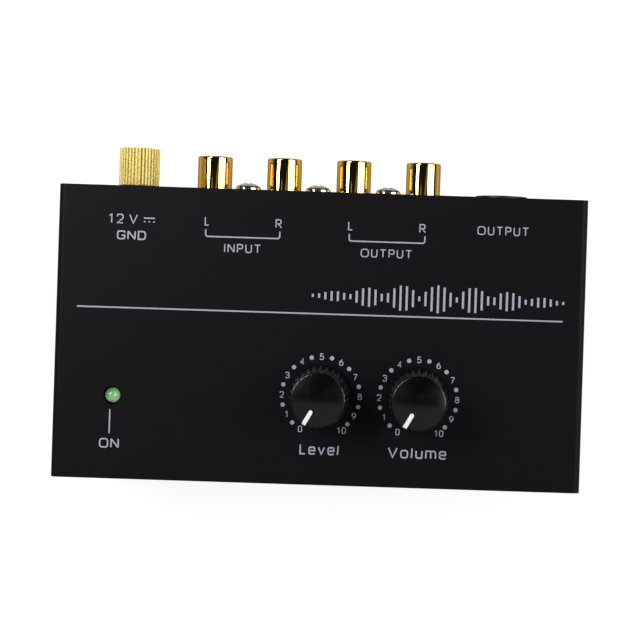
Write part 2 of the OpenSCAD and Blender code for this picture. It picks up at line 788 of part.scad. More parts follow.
module dc_socket_pin() {
  root = rear_in - dc_depth + seat_gap;
  length = dc_depth - seat_gap - dc_pin_sink - dc_pin_r;
  color("silver") {
    rearward(left_x, rear_in - dc_body_d, dc_z)
      cylinder(r = dc_pin_r - dc_pin_step, h = dc_body_d - dc_depth + over);
    rearward(left_x, root, dc_z) cylinder(r = dc_pin_r, h = length);
    rearward(left_x, root + length, dc_z) sphere(dc_pin_r);
  }
}

// Side view of the leaf: its tail stands on the board, its crest reaches into the bore
module dc_socket_leaf() {
  crest = dc_rise - dc_bore_d / 2 + dc_leaf_dip;
  crest_at = dc_leaf_l * 0.7;
  tip = (dc_leaf_rise + crest) / 2;
  color("silver") translate([left_x - dc_leaf_w / 2, dc_leaf_y, board_top]) rotate([90, 0, 90])
    linear_extrude(dc_leaf_w) polygon([
      [0, 0], [dc_leaf_t, 0], [dc_leaf_t, dc_leaf_rise], [crest_at, crest - dc_leaf_t],
      [dc_leaf_l, tip - dc_leaf_t], [dc_leaf_l, tip], [crest_at, crest], [0, dc_leaf_rise + dc_leaf_t]
    ]);
}

// ---------- quarter-inch jack ----------

module jack_body() {
  cavity_l = jack_l - jack_back - jack_front;
  color("#1a1a1b") difference() {
    union() {
      translate([jack_x - jack_side, rear_in - jack_l, board_top]) cube([2 * jack_side, jack_l, jack_h]);
      rearward(jack_x, rear_in - over, jack_z) cylinder(d = nose_d, h = over + sheet + nose_l);
    }
    translate([jack_x - jack_side + jack_wall, rear_in - jack_l + jack_back, board_top + jack_floor])
      cube([2 * (jack_side - jack_wall), cavity_l, jack_h]);
    rearward(jack_x, rear_in - jack_front - over, jack_z)
      cylinder(r = jack_r + sleeve_t + seat_gap, h = jack_front + sheet + nose_l + 2 * over);
    rearward(jack_x, rear_in - jack_l - over, jack_z) cylinder(r = jack_r, h = jack_back + 2 * over);
    for (pin = [[leaf_x, tip_pin_back], [-leaf_x, ring_pin_back]])
      translate([jack_x + pin[0], rear_in - pin[1], board_top - over])
        cylinder(r = leaf_pin_r + run_gap, h = jack_floor + 2 * over);
  }
}

module jack_lid() {
  color("#222223") translate([jack_x - jack_side, rear_in - jack_l, board_top + jack_h])
    cube([2 * jack_side, jack_l, jack_lid_t]);
}

module jack_sleeve() {
  color("silver") difference() {
    rearward(jack_x, rear_in - jack_front, jack_z)
      cylinder(r = jack_r + sleeve_t, h = jack_front + sheet + nose_l - sleeve_sink);
    rearward(jack_x, rear_in - jack_front - over, jack_z)
      cylinder(r = jack_r, h = jack_front + sheet + nose_l + 2 * over);
    rearward(jack_x, rear_in - mouth_in, jack_z)
      cylinder(r = jack_r + mouth_step, h = mouth_in + sheet + nose_l + over);
  }
}

// Bent leaf on an upright pin: it lies beside the plug and its crest presses on the plug
module jack_leaf(side, pin_back, crest_back) {
  reach = leaf_x - jack_r + leaf_dip;
  bend = pin_back - crest_back + leaf_crest;
  peak = pin_back - crest_back;
  tip = pin_back - crest_back - leaf_crest;
  color("silver") translate([jack_x + side * leaf_x, rear_in - pin_back, board_top]) {
    cylinder(r = leaf_pin_r, h = jack_h - part_gap);
    translate([0, 0, jack_rise - leaf_h / 2]) linear_extrude(leaf_h) mirror([side < 0 ? 1 : 0, 0])
      polygon([
        [-leaf_t / 2, 0], [-leaf_t / 2, bend], [-reach, peak], [-leaf_t / 2, tip],
        [leaf_t / 2, tip], [leaf_t - reach, peak], [leaf_t / 2, bend], [leaf_t / 2, 0]
      ]);
  }
}

// ---------- controls ----------

module pot_case(x) {
  color("#222224") translate([x, knob_y, 0]) {
    difference() {
      translate([-pot_w / 2, -pot_l / 2, board_top]) cube([pot_w, pot_l, pot_h]);
      translate([0, 0, wafer_z]) cylinder(r = pot_in, h = pot_h);
    }
    // The stop that the rotor's lug meets at both ends of its turn
    rotate(-90) translate([0, 0, rotor_z])
      linear_extrude(rotor_h) polygon(sector_points(stop_in, pot_in + pot_wall / 2, stop_half));
  }
}

// Plate over the housing with the bushing in its middle and a strap down each side
module pot_cover(x) {
  color("silver") translate([x, knob_y, 0]) difference() {
    union() {
      translate([-pot_w / 2 - pot_cover_t, -pot_l / 2, pot_lid_z])
        cube([pot_w + 2 * pot_cover_t, pot_l, pot_cover_t]);
      for (side = [-1, 1])
        translate([side < 0 ? -pot_w / 2 - pot_cover_t : pot_w / 2, -strap_half, board_top])
          cube([pot_cover_t, 2 * strap_half, pot_h + pot_cover_t / 2]);
      translate([0, 0, pot_lid_z]) cylinder(r = shaft_r + bushing_t, h = pot_cover_t + bushing_l);
    }
    translate([0, 0, pot_lid_z - over])
      cylinder(r = shaft_r + run_gap, h = pot_cover_t + bushing_l + 2 * over);
  }
}

// Resistance wafer on the floor of the control
module pot_wafer(x) {
  color("#3a2a1c") translate([x, knob_y, wafer_z]) difference() {
    cylinder(r = pot_in - seat_gap, h = wafer_t);
    translate([0, 0, -over]) cylinder(r = wafer_hole_r, h = wafer_t + 2 * over);
  }
}

// Two rows of three pins that leave the front of the control and bend down to the board
module pot_pins(x) {
  color("silver") translate([x, knob_y, board_top]) for (i = [-1:1], row = [0, 1]) {
    out = pin_t * (2.5 + 4 * row);
    rise = 3 + 1.6 * row;
    translate([i * pin_pitch - pin_w / 2, -pot_l / 2 - out, 0]) {
      cube([pin_w, pin_t, rise]);
      translate([0, 0, rise - pin_t]) cube([pin_w, out, pin_t]);
    }
  }
}

module pot_rotor(x) {
  wiper_foot = wafer_z + wafer_t + seat_gap;
  color("#e8e4d8") translate([x, knob_y, 0]) rotate(-90 - stop_angle) {
    translate([0, 0, rotor_z]) difference() {
      union() {
        cylinder(r = rotor_r, h = rotor_h);
        linear_extrude(rotor_h) polygon(sector_points(neck_r + seat_gap, lug_out, lug_half));
      }
      translate([0, 0, -over]) cylinder(r = neck_r + seat_gap, h = rotor_h + 2 * over);
    }
    // Wiper that runs on the wafer
    translate([-rotor_r + seat_gap, -pin_w / 2, wiper_foot])
      cube([pin_w, pin_w, rotor_z - wiper_foot + rotor_h / 2]);
  }
}

module control_shaft(x) {
  color("gainsboro") translate([x, knob_y, 0]) difference() {
    union() {
      translate([0, 0, rotor_z]) cylinder(r = neck_r, h = pot_lid_z - rotor_z + over);
      translate([0, 0, pot_lid_z]) cylinder(r = shaft_r, h = shaft_top - pot_lid_z);
    }
    // Flat for the knob
    rotate(-90 - pointer_rest) translate([shaft_flat, -shaft_d, knob_z + over])
      cube([shaft_d, 2 * shaft_d, knob_h]);
  }
}

// Outer form of a knob without its flutes: a cone under a shallow dome
module knob_form(grow) {
  intersection() {
    translate([0, 0, -grow])
      cylinder(d1 = knob_foot_d + 2 * grow, d2 = knob_top_d + 2 * grow, h = knob_h + 2 * grow);
    translate([0, 0, knob_h - dome_r]) sphere(dome_r + grow, $fn = 96);
  }
}

module knob(x) {
  lean = atan2((knob_foot_d - knob_top_d) / 2, knob_h);
  color("#161617") translate([x, knob_y, knob_z]) difference() {
    knob_form(0);
    for (i = [0:flutes - 1])
      rotate((i + 0.5) * 360 / flutes) translate([knob_foot_d / 2 + flute_r - flute_depth, 0, 0])
        rotate([0, -lean, 0]) translate([0, 0, -over]) cylinder(r = flute_r, h = knob_h + 2 * over, $fn = 24);
    // Hollow underside round the boss
    difference() {
      translate([0, 0, -over]) cylinder(r = knob_top_d / 2 - knob_wall, h = knob_h - knob_roof + over);
      translate([0, 0, -2 * over]) cylinder(r = shaft_r + boss_t, h = knob_h + 2 * over);
    }
    // Socket for the flatted shaft
    difference() {
      translate([0, 0, -over]) cylinder(r = shaft_r + seat_gap, h = shaft_top - knob_z + seat_gap + over);
      rotate(-90 - pointer_rest) translate([shaft_flat + seat_gap, -shaft_d, over + seat_gap])
        cube([shaft_d, 2 * shaft_d, knob_h]);
    }
    rotate(-90 - pointer_rest) pointer_zone(seat_gap);
  }
}

// The skin of the knob's form along one radius, as deep as the pointer lies
module pointer_zone(slack) {
  difference() {
    translate([pointer_start - slack, -pointer_w / 2 - slack, knob_h - pointer_drop - slack])
      cube([knob_foot_d, pointer_w + 2 * slack, pointer_drop + over]);
    knob_form(-pointer_deep - slack);
  }
}

module pointer(x) {
  color("white") translate([x, knob_y, knob_z]) rotate(-90 - pointer_rest) intersection() {
    pointer_zone(0);
    knob_form(pointer_proud);
  }
}

// ---------- pilot lamp ----------

module lamp_lens() {
  color("#3fbf55") translate([lamp_x, lamp_y, lamp_foot_z]) {
    cylinder(r = lamp_r + lamp_step, h = lamp_flange_h);
    cylinder(r = lamp_r, h = lamp_l);
    translate([0, 0, lamp_l]) sphere(lamp_r);
  }
}

module at_lamp_leads() {
  for (side = [-1, 1]) translate([lamp_x + side * lead_pitch / 2, lamp_y, board_top]) children();
}

module lamp_leads() {
  color("silver") at_lamp_leads() cylinder(d = lead_d, h = lamp_foot_z - board_top);
}

module lamp_spacer() {
  color("#202020") difference() {
    translate([lamp_x, lamp_y, board_top]) cylinder(r = lamp_r + lamp_step, h = lamp_foot_z - board_top);
    at_lamp_leads() translate([0, 0, -over])
      cylinder(r = lead_d / 2 + seat_gap, h = lamp_foot_z - board_top + 2 * over);
  }
}

// ---------- loose parts on the board ----------

// Eight-leg chips that stand a little off the board
module op_amps() {
  size = [9.4, 6.4, 3.4];
  lift = 0.6;
  leg = 0.5;
  color("#202022") for (at = CHIPS) translate([at[0], at[1], board_top]) {
    difference() {
      translate([-size[0] / 2, -size[1] / 2, lift]) cube(size);
      translate([-size[0] / 2, 0, lift + size[2] - leg]) cylinder(r = 0.8, h = over);
    }
    for (i = [-1.5:1.5], side = [-1, 1])
      translate([i * 2.54 - leg / 2, side * (size[1] / 2 + 0.15) - leg / 2, 0]) cube([leg, leg, lift + 1.8]);
  }
}

module electrolytic_capacitors() {
  groove = 0.25;
  foot = 1.2;
  color("#23324a") for (can = CANS) translate([can[0], can[1], board_top]) {
    cylinder(d = can[2], h = foot);
    cylinder(d = can[2] - 2 * groove, h = can[3]);
    translate([0, 0, foot + 0.8]) cylinder(d = can[2], h = can[3] - foot - 0.8);
  }
}

module film_capacitors() {
  size = [7.2, 2.6, 6.5];
  color("#a3342b") for (at = FILMS)
    translate([at[0] - size[0] / 2, at[1] - size[1] / 2, board_top]) cube(size);
}

module resistors() {
  body_l = 4.6;
  body_d = 2;
  lead = 0.5;
  reach = 3;
  color("#8fb2c4") for (at = RESISTORS) translate([at[0], at[1], board_top + body_d / 2]) {
    translate([-body_l / 2, 0, 0]) rotate([0, 90, 0]) cylinder(d = body_d, h = body_l);
    translate([-reach, 0, 0]) rotate([0, 90, 0]) cylinder(d = lead, h = 2 * reach);
    for (side = [-1, 1])
      translate([side * reach, 0, -body_d / 2]) cylinder(d = lead, h = body_d / 2 + lead / 2);
  }
}

// Three-leg regulator that stands on the board, with its metal tab behind it
module voltage_regulator() {
  width = 10;
  leg = 0.6;
  lift = 4;
  color("#262628") translate([REGULATOR[0], REGULATOR[1], board_top]) {
    translate([-width / 2, -2.2, lift]) cube([width, 3.2, 9]);
    translate([-width / 2, 1, lift]) cube([width, 1.2, 14]);
    for (i = [-1:1]) translate([i * 2.54 - leg / 2, -leg, 0]) cube([leg, leg, lift + leg]);
  }
}

module rectifier_diode() {
  body_d = 2.7;
  body_l = 5.2;
  lead = 0.8;
  reach = 4.5;
  color("#1b1b1b") translate([DIODE[0], DIODE[1], board_top + body_d / 2]) {
    rearward(0, -body_l / 2, 0) cylinder(d = body_d, h = body_l);
    rearward(0, -reach, 0) cylinder(d = lead, h = 2 * reach);
    for (side = [-1, 1])
      translate([0, side * reach, -body_d / 2]) cylinder(d = lead, h = body_d / 2 + lead / 2);
  }
}

// ---------- the assembly ----------

place() top_cover();
place() chassis();
place() cover_screws();
place() rubber_feet();
place() board_standoffs();
place() circuit_board();
place() board_screws();
place() rca_housing();
place() rca_screws();
place() rca_barrel(0);  // rca_barrel_in_left
place() rca_barrel(1);  // rca_barrel_in_right
place() rca_barrel(2);  // rca_barrel_out_left
place() rca_barrel(3);  // rca_barrel_out_right
place() rca_insulator(0);  // rca_insulator_in_left
place() rca_insulator(1);  // rca_insulator_in_right
place() rca_insulator(2);  // rca_insulator_out_left
place() rca_insulator(3);  // rca_insulator_out_right
place() rca_contact(0);  // rca_contact_in_left
place() rca_contact(1);  // rca_contact_in_right
place() rca_contact(2);  // rca_contact_out_left
place() rca_contact(3);  // rca_contact_out_right
place() ground_stud();
place() ground_stud_nut();
place() ground_lug();
place() ground_wire();
place() ground_washer();
place() ground_thumb_nut();
place() dc_socket_body();
place() dc_socket_pin();
place() dc_socket_leaf();
place() jack_body();
place() jack_lid();
place() jack_sleeve();
place() jack_leaf(1, tip_pin_back, tip_back);  // jack_tip_leaf
place() jack_leaf(-1, ring_pin_back, ring_back);  // jack_ring_leaf
place() pot_case(level_x);  // level_pot_case
place() pot_cover(level_x);  // level_pot_cover
place() pot_wafer(level_x);  // level_pot_wafer
place() pot_pins(level_x);  // level_pot_pins
place() pot_rotor(level_x);  // level_pot_rotor
place() control_shaft(level_x);  // level_shaft
place() knob(level_x);  // level_knob
place() pointer(level_x);  // level_pointer
place() pot_case(volume_x);  // volume_pot_case
place() pot_cover(volume_x);  // volume_pot_cover
place() pot_wafer(volume_x);  // volume_pot_wafer
place() pot_pins(volume_x);  // volume_pot_pins
place() pot_rotor(volume_x);  // volume_pot_rotor
place() control_shaft(volume_x);  // volume_shaft
place() knob(volume_x);  // volume_knob
place() pointer(volume_x);  // volume_pointer
place() lamp_lens();
place() lamp_leads();
place() lamp_spacer();
place() op_amps();
place() electrolytic_capacitors();
place() film_capacitors();
place() resistors();
place() voltage_regulator();
place() rectifier_diode();
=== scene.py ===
# %% [markdown]
# # Dressing a desktop phono preamp
# The real object is a small box of folded steel with two knobs and a lamp on top and a row of sockets at
# the rear. Its measured shapes were made as CAD solids. This notebook gives them their looks. The CAD parts
# could be painted as they are, but their edges are razor sharp and their curves coarse, so the parts that
# show are made again here with fine curves and soft edges, and the hidden ones only get a finish.

# %% Load the fixed frame
import json
import math

import bmesh
import bpy
from mathutils import Matrix, Vector


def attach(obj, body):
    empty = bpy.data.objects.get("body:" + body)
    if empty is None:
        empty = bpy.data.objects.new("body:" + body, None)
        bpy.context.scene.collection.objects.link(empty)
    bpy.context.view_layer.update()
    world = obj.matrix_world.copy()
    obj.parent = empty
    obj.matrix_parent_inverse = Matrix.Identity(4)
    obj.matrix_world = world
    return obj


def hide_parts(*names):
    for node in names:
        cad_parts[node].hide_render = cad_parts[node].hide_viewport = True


MM = 0.001
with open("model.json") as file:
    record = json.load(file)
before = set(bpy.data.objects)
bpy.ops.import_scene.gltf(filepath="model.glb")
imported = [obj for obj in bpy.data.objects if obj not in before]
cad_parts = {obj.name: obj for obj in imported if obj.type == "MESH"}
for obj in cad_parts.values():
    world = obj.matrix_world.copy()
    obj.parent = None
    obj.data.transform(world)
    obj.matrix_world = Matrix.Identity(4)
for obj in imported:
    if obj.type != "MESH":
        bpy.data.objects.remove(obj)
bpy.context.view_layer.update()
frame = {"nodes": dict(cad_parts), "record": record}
node = frame["nodes"]

# %% [markdown]
# ## The camera
# A product seen squarely from above is shot on a copy stand: the camera hangs over the table and looks
# straight down. A lens shift, not a tilt, frames an object that isn't under the lens, because a tilt would
# make the box's parallel edges run together.


# %% Camera on its copy stand
def new_object(name, data):
    """A new object, linked to the scene."""
    made = bpy.data.objects.new(name, data)
    bpy.context.scene.collection.objects.link(made)
    return made


lens = bpy.data.cameras.new("copy_stand")
lens.sensor_width = 36
lens.lens = 83.18
lens.shift_x = -0.1219
lens.shift_y = -0.0703
camera = new_object("copy_stand", lens)
camera.location = (17.62 * MM, 10.51 * MM, 378 * MM)
camera.rotation_euler = (0, 0, math.radians(1.86))
bpy.context.scene.camera = camera
print("camera height in mm", round(camera.location.z / MM))

# %% [markdown]
# ## Helpers for every node tree
# Shader and geometry trees are both lists of nodes with settings and links. One function that adds a node,
# sets it and plugs it in keeps the trees readable. Colours are written as they look on a screen, so a
# second function turns them into the linear light that the renderer reckons with. The others stand for the
# steps that most trees take: a sum, a change of range and a noise.


# %% Helpers for node trees
def add(tree, kind, inputs=None, **settings):
    """Adds one node. Each input takes a value, or the socket that it is linked to."""
    made = tree.nodes.new(kind)
    for name, value in settings.items():
        setattr(made, name, value)
    for name, value in (inputs or {}).items():
        if isinstance(value, bpy.types.NodeSocket):
            tree.links.new(value, made.inputs[name])
        else:
            made.inputs[name].default_value = value
    return made


def srgb(code):
    """Turns a colour such as #1c1b1e into linear red, green, blue and alpha."""
    parts = [int(code[i : i + 2], 16) / 255 for i in (1, 3, 5)]
    return [c / 12.92 if c <= 0.04045 else ((c + 0.055) / 1.055) ** 2.4 for c in parts] + [1.0]


def maths(tree, operation, first, second=None):
    """One maths node on numbers or sockets; returns the socket with its result."""
    operands = {0: first} if second is None else {0: first, 1: second}
    return add(tree, "ShaderNodeMath", operands, operation=operation).outputs[0]


def ranged(tree, value, start=0.0, end=1.0, low=0.0, high=1.0, **settings):
    """Carries a value from the range start to end over to the range low to high."""
    ranges = {"From Min": start, "From Max": end, "To Min": low, "To Max": high}
    return add(tree, "ShaderNodeMapRange", {"Value": value, **ranges}, **settings).outputs[0]


def noise(tree, place, size, detail):
    """Cloudy noise with blobs of about a size in millimetres."""
    settings = {"Vector": place, "Scale": 1 / (size * MM), "Detail": detail}
    return add(tree, "ShaderNodeTexNoise", settings).outputs["Fac"]


print("mid grey in linear light", [round(v, 3) for v in srgb("#808080")])

# %% [markdown]
# ## The studio
# A black box on white needs few lights. Mirror-like parts show the studio itself, so each lamp's place is
# chosen by what should be seen in them: one tall soft box on the right draws the white band down each
# gold barrel, one at the rear left draws the crescent on each knob, and the zenith stays dark so that the
# paint stays black. The floor is white card. It glows a little towards the camera, which keeps the
# background white while the soft shadow still falls on it.

# %% White floor that keeps the shadow
# The camera sees the whole glow, mirrors and glass a share that falls off with the distance in metres, and
# all other rays none
GLOW, SHARE_NEAR, SHARE_FAR, NEAR, FAR = 0.85, 0.4, 0.1, 0.08, 0.17
card = bpy.data.materials.new("white_card")
card.use_nodes = True
paper = card.node_tree
paper.nodes.clear()
ray = add(paper, "ShaderNodeLightPath").outputs
seen = maths(paper, "MAXIMUM", ray["Is Camera Ray"], ray["Is Glossy Ray"])
seen = maths(paper, "MAXIMUM", seen, ray["Is Transmission Ray"])
spot = add(paper, "ShaderNodeTexCoord").outputs["Object"]
far = add(paper, "ShaderNodeVectorMath", {0: spot}, operation="LENGTH").outputs["Value"]
fade = ranged(paper, far, start=NEAR, end=FAR, low=SHARE_NEAR, high=SHARE_FAR)
bright = maths(paper, "MULTIPLY", maths(paper, "MAXIMUM", ray["Is Camera Ray"], fade), GLOW)
matt = add(paper, "ShaderNodeBsdfDiffuse", {"Color": srgb("#8f8f8f")})
glow = add(paper, "ShaderNodeEmission", {"Strength": bright})
lit = add(paper, "ShaderNodeAddShader", {0: matt.outputs[0], 1: glow.outputs[0]})
plain = add(paper, "ShaderNodeBsdfDiffuse", {"Color": srgb("#e0e0e0")})
both = add(paper, "ShaderNodeMixShader", {0: seen, 1: plain.outputs[0], 2: lit.outputs[0]})
add(paper, "ShaderNodeOutputMaterial", {"Surface": both.outputs[0]})

sheet = bmesh.new()
bmesh.ops.create_grid(sheet, x_segments=1, y_segments=1, size=6)
floor_mesh = bpy.data.meshes.new("floor")
sheet.to_mesh(floor_mesh)
sheet.free()
floor_mesh.materials.append(card)
floor = new_object("floor", floor_mesh)
print("floor", [round(v, 1) for v in floor.dimensions])

# %% World: white behind the object, dark overhead in reflections
AMBIENT, DIM_SIDE, ZENITH = 0.24, 0.024, 0.0096
world = bpy.data.worlds.new("studio")
bpy.context.scene.world = world
world.use_nodes = True
sky = world.node_tree
sky.nodes.clear()
ray = add(sky, "ShaderNodeLightPath").outputs
way = add(sky, "ShaderNodeSeparateXYZ", {0: add(sky, "ShaderNodeTexCoord").outputs["Generated"]}).outputs
aside = ranged(sky, way["X"], start=-1.0, low=AMBIENT, high=DIM_SIDE)
fall = ranged(sky, way["Z"], start=0.1, end=0.3, low=aside, high=ZENITH)
mirrored = maths(sky, "MAXIMUM", ray["Is Glossy Ray"], ray["Is Transmission Ray"])
soft = add(sky, "ShaderNodeMix", {"Factor": mirrored, "A": AMBIENT, "B": fall})
level = add(sky, "ShaderNodeMix", {"Factor": ray["Is Camera Ray"], "A": soft.outputs[0], "B": 1.0})
light = add(sky, "ShaderNodeBackground", {"Color": srgb("#ffffff"), "Strength": level.outputs[0]})
add(sky, "ShaderNodeOutputWorld", {"Surface": light.outputs[0]})
print("world", AMBIENT, "down to", ZENITH)


# %% Soft boxes
def soft_box(name, azimuth, elevation, width, height, radiance, distance=1.0):
    """A rectangular lamp that faces the object from a direction in degrees; sizes in metres."""
    lamp = bpy.data.lights.new(name, "AREA")
    lamp.shape = "RECTANGLE"
    lamp.size = width
    lamp.size_y = height
    lamp.energy = radiance * math.pi * width * height
    box = new_object(name, lamp)
    turn, rise = math.radians(azimuth), math.radians(elevation)
    away = Vector((math.cos(turn) * math.cos(rise), math.sin(turn) * math.cos(rise), math.sin(rise)))
    box.location = away * distance
    box.rotation_euler = away.to_track_quat("Z", "Y").to_euler()
    box.visible_camera = False
    print(name, "at", azimuth, elevation, "radiance", radiance)


soft_box("right_box", 6, 38, 0.4, 0.8, 5.0)
soft_box("rear_left_box", 146, 52, 0.3, 0.13, 12.0, 0.5)
soft_box("rear_right_box", 42, 32, 0.3, 0.4, 2.4)
soft_box("front_panel", -92, 66, 1.2, 0.6, 0.38)
soft_box("overhead_strip", 20, 77, 0.07, 0.42, 0.2)
soft_box("overhead_line", 163, 76, 0.1, 0.06, 0.5)
bpy.context.scene.view_settings.view_transform = "Standard"

# %% [markdown]
# ## Finishes
# Each material starts from what the real surface is and how it was made. One helper starts a material with
# a Principled shader, because most finishes differ only in a few numbers and in the pattern that is
# plugged into them. Patterns read the object's own coordinates in metres, so a scale of 1 / 0.0003 means
# a grain of 0.3 mm on the real thing.


# %% A helper that starts a finish
def finish(name, **surface):
    """A material with one Principled shader, and its tree, shader and coordinates in metres."""
    material = bpy.data.materials.new(name)
    material.use_nodes = True
    tree = material.node_tree
    tree.nodes.clear()
    shader = add(tree, "ShaderNodeBsdfPrincipled", {k.replace("_", " "): v for k, v in surface.items()})
    add(tree, "ShaderNodeOutputMaterial", {"Surface": shader.outputs[0]})
    place = add(tree, "ShaderNodeTexCoord").outputs["Object"]
    print("finish", name)
    return material, tree, shader, place


def coloured(tree, shader, share, low, high):
    """Colours a shader with a mix of two screen colours by a share from 0 to 1."""
    tones = {"Factor": share, "A": srgb(low), "B": srgb(high)}
    mix = add(tree, "ShaderNodeMix", tones, data_type="RGBA")
    tree.links.new(mix.outputs["Result"], shader.inputs["Base Color"])


def bumped(tree, shader, height, depth, strength):
    """Gives a shader a bump of a depth in millimetres."""
    bump = add(tree, "ShaderNodeBump", {"Height": height, "Distance": depth * MM, "Strength": strength})
    tree.links.new(bump.outputs["Normal"], shader.inputs["Normal"])


CLOUD = 14  # width in grains of the blobs in which a finish's colour drifts


def grained(name, low, high, grain, depth, **surface):
    """A finish whose colour drifts between two tones, with a fine bump; grain and depth in millimetres."""
    material, tree, shader, place = finish(name, **surface)
    coloured(tree, shader, noise(tree, place, grain * CLOUD, 3.0), low, high)
    bumped(tree, shader, noise(tree, place, grain, 2.0), depth, 0.6)
    return material


# %% Black finishes
# Powder coat: polyester grains melted in an oven leave a fine orange peel and a soft, greyish sheen
coat_sheen = {"Roughness": 0.5, "Specular_IOR_Level": 0.12}
powder_coat = grained("black_powder_coat", "#0b070c", "#0f0b10", 0.3, 0.012, **coat_sheen)
# Black-oxide steel: a thin dark oxide over turned steel, with a duller shine than bare metal
black_oxide = grained("black_oxide_steel", "#1e1e20", "#2a2a2c", 0.2, 0.006, Metallic=0.7, Roughness=0.38)
# Moulded ABS knob: a spark-eroded mould gives an even satin
knob_abs = grained("satin_black_abs", "#020202", "#040404", 0.25, 0.0003, Roughness=0.2)
# Moulded PBT of the sockets: a little rougher, with faint flow marks
socket_pbt = grained("moulded_black_pbt", "#141415", "#1b1b1c", 0.3, 0.01, Roughness=0.42)
# Synthetic rubber foot: dull, dusty black
rubber = grained("black_rubber", "#121212", "#1b1a1a", 0.4, 0.03, Roughness=0.85)
# Epoxy moulding compound of a chip: dark grey with a fine mould grain
chip_epoxy = grained("chip_epoxy", "#1c1c1e", "#242426", 0.15, 0.008, Roughness=0.55)

# %% Metals
# Nickel plate over steel: bright, slightly warm, faintly wavy
nickel = grained("bright_nickel_plate", "#b4b0ab", "#c0bcb7", 1.2, 0.006, Metallic=1.0, Roughness=0.12)
# Tinned contact metal: greyer and softer than nickel
tinned = grained("tinned_bronze", "#b9b7b2", "#c9c7c3", 0.5, 0.008, Metallic=1.0, Roughness=0.3)
# Turned brass of the stud and washer
brass = grained("turned_brass", "#c99a3e", "#d8ad55", 0.4, 0.008, Metallic=1.0, Roughness=0.24)
# Turned aluminium shaft
aluminium = grained("turned_aluminium", "#bcbdc0", "#cdced1", 0.3, 0.008, Metallic=1.0, Roughness=0.3)

# %% Mirror gold of the phono barrels
# Hard gold over polished brass: a near mirror that reddens towards its edges, drawn lengthwise by the
# polishing, so it gets long shallow waves
polish = {"Metallic": 1.0, "Roughness": 0.05, "Specular_Tint": srgb("#c48c34")}
mirror_gold, tree, shader, place = finish("polished_gold_plate", Base_Color=srgb("#e9c377"), **polish)
long_way = add(tree, "ShaderNodeMapping", {"Vector": place, "Scale": (1.0, 0.12, 1.0)})
bumped(tree, shader, noise(tree, long_way.outputs[0], 0.9, 3.0), 0.01, 0.5)

# %% Sandblasted gold of the thumb nut
# Gold flash over blasted brass: a pale grain on the ribs' crests. The grooves get painted shade, more in some
# than in others, so one noise that doesn't change along the nut decides how dark each groove is; the flat
# ends, inside the grooves' floor, get no painted shade
POST_X, POST_Z = -44.5, 27.0
SHADED_R, CREST_R = 4.42, 4.66  # radii between which the painted shade in the grooves thins out
FLAT_R, FLOOR_R = 4.3, 4.36  # radii between which the flat end, free of painted shade, gives way to the grooves
blast = {"Metallic": 0.1, "Roughness": 0.5, "Specular_IOR_Level": 0.15}
blasted_gold, tree, shader, place = finish("sandblasted_gold_plate", **blast)
centred = add(tree, "ShaderNodeMapping", {"Vector": place, "Location": (-POST_X * MM, 0, -POST_Z * MM)})
without_y = {0: centred.outputs[0], 1: (1, 0, 1)}
across = add(tree, "ShaderNodeVectorMath", without_y, operation="MULTIPLY").outputs[0]
reach = add(tree, "ShaderNodeVectorMath", {0: across}, operation="LENGTH").outputs["Value"]
crest = ranged(tree, reach, start=SHADED_R * MM, end=CREST_R * MM)
lighter = ranged(tree, noise(tree, across, 1.3, 1.0), start=0.42, end=0.64, high=0.65)
inside = ranged(tree, reach, start=FLAT_R * MM, end=FLOOR_R * MM, low=1.0, high=0.0)
unshaded = maths(tree, "MAXIMUM", maths(tree, "MAXIMUM", crest, inside), lighter)
grit = noise(tree, place, 0.28, 2.0)
speck = ranged(tree, grit, start=0.3, end=0.52, low=0.35)
# dark brown is painted shade in the grooves, pale gold the plate on the crests
coloured(tree, shader, maths(tree, "MULTIPLY", unshaded, speck), "#8f5200", "#fff092")
bumped(tree, shader, grit, 0.04, 0.6)

# %% Pale and coloured plastics
# Moulded nylon of the left sockets' insulators and of the pot rotors
white_nylon = grained("white_nylon", "#e6e4dd", "#efede7", 0.4, 0.006, Roughness=0.42)
red_nylon = grained("red_nylon", "#a9211c", "#b92a22", 0.4, 0.006, Roughness=0.4)
# Paint filled into the knob's groove
white_fill = grained("white_fill_paint", "#eeeeea", "#f6f6f3", 0.25, 0.004, Roughness=0.4)
# Screen ink: a thin, slightly translucent pale grey film, a little stippled by the mesh
screen_ink = grained("pale_screen_ink", "#9a9aa8", "#a8a8b6", 0.12, 0.004, Roughness=0.5)
wire_cover = grained("green_pvc_wire", "#1f6a34", "#26763b", 0.5, 0.006, Roughness=0.38)
can_sleeve = grained("blue_shrink_sleeve", "#1a2742", "#20304f", 0.8, 0.01, Roughness=0.32)
film_dip = grained("red_epoxy_dip", "#8c2018", "#9c2a1e", 0.8, 0.02, Roughness=0.3)
wafer = grained("phenolic_wafer", "#4a2c16", "#573519", 0.3, 0.01, Roughness=0.6)

# %% Clear green epoxy of the lamp
# Cast epoxy: light goes in, so it is part glass and part green body, under a wet-looking surface. The body's
# colour is painted paler towards the front right: painted light, where light from the far side of a bead
# gathers
LAMP_X, LAMP_Y = -47.1, -19.2
clear = {"Roughness": 0.1, "IOR": 1.52, "Transmission_Weight": 0.25, "Coat_Weight": 0.4}
lamp_epoxy, tree, shader, place = finish("clear_green_epoxy", **clear)
swirl = noise(tree, place, 1.4, 2.0)
centred = add(tree, "ShaderNodeMapping", {"Vector": place, "Location": (-LAMP_X * MM, -LAMP_Y * MM, 0)})
towards = {0: centred.outputs[0], 1: (0.6, -0.8, 0.0)}
near_side = add(tree, "ShaderNodeVectorMath", towards, operation="DOT_PRODUCT").outputs["Value"]
# painted light: the colour turns paler along one fixed direction, towards the front right
painted_light_share = ranged(tree, near_side, start=-1.4 * MM, end=1.5 * MM)
share = add(tree, "ShaderNodeMix", {"Factor": 0.2, "A": painted_light_share, "B": swirl})
coloured(tree, shader, share.outputs[0], "#3f8a4d", "#c4f5b4")

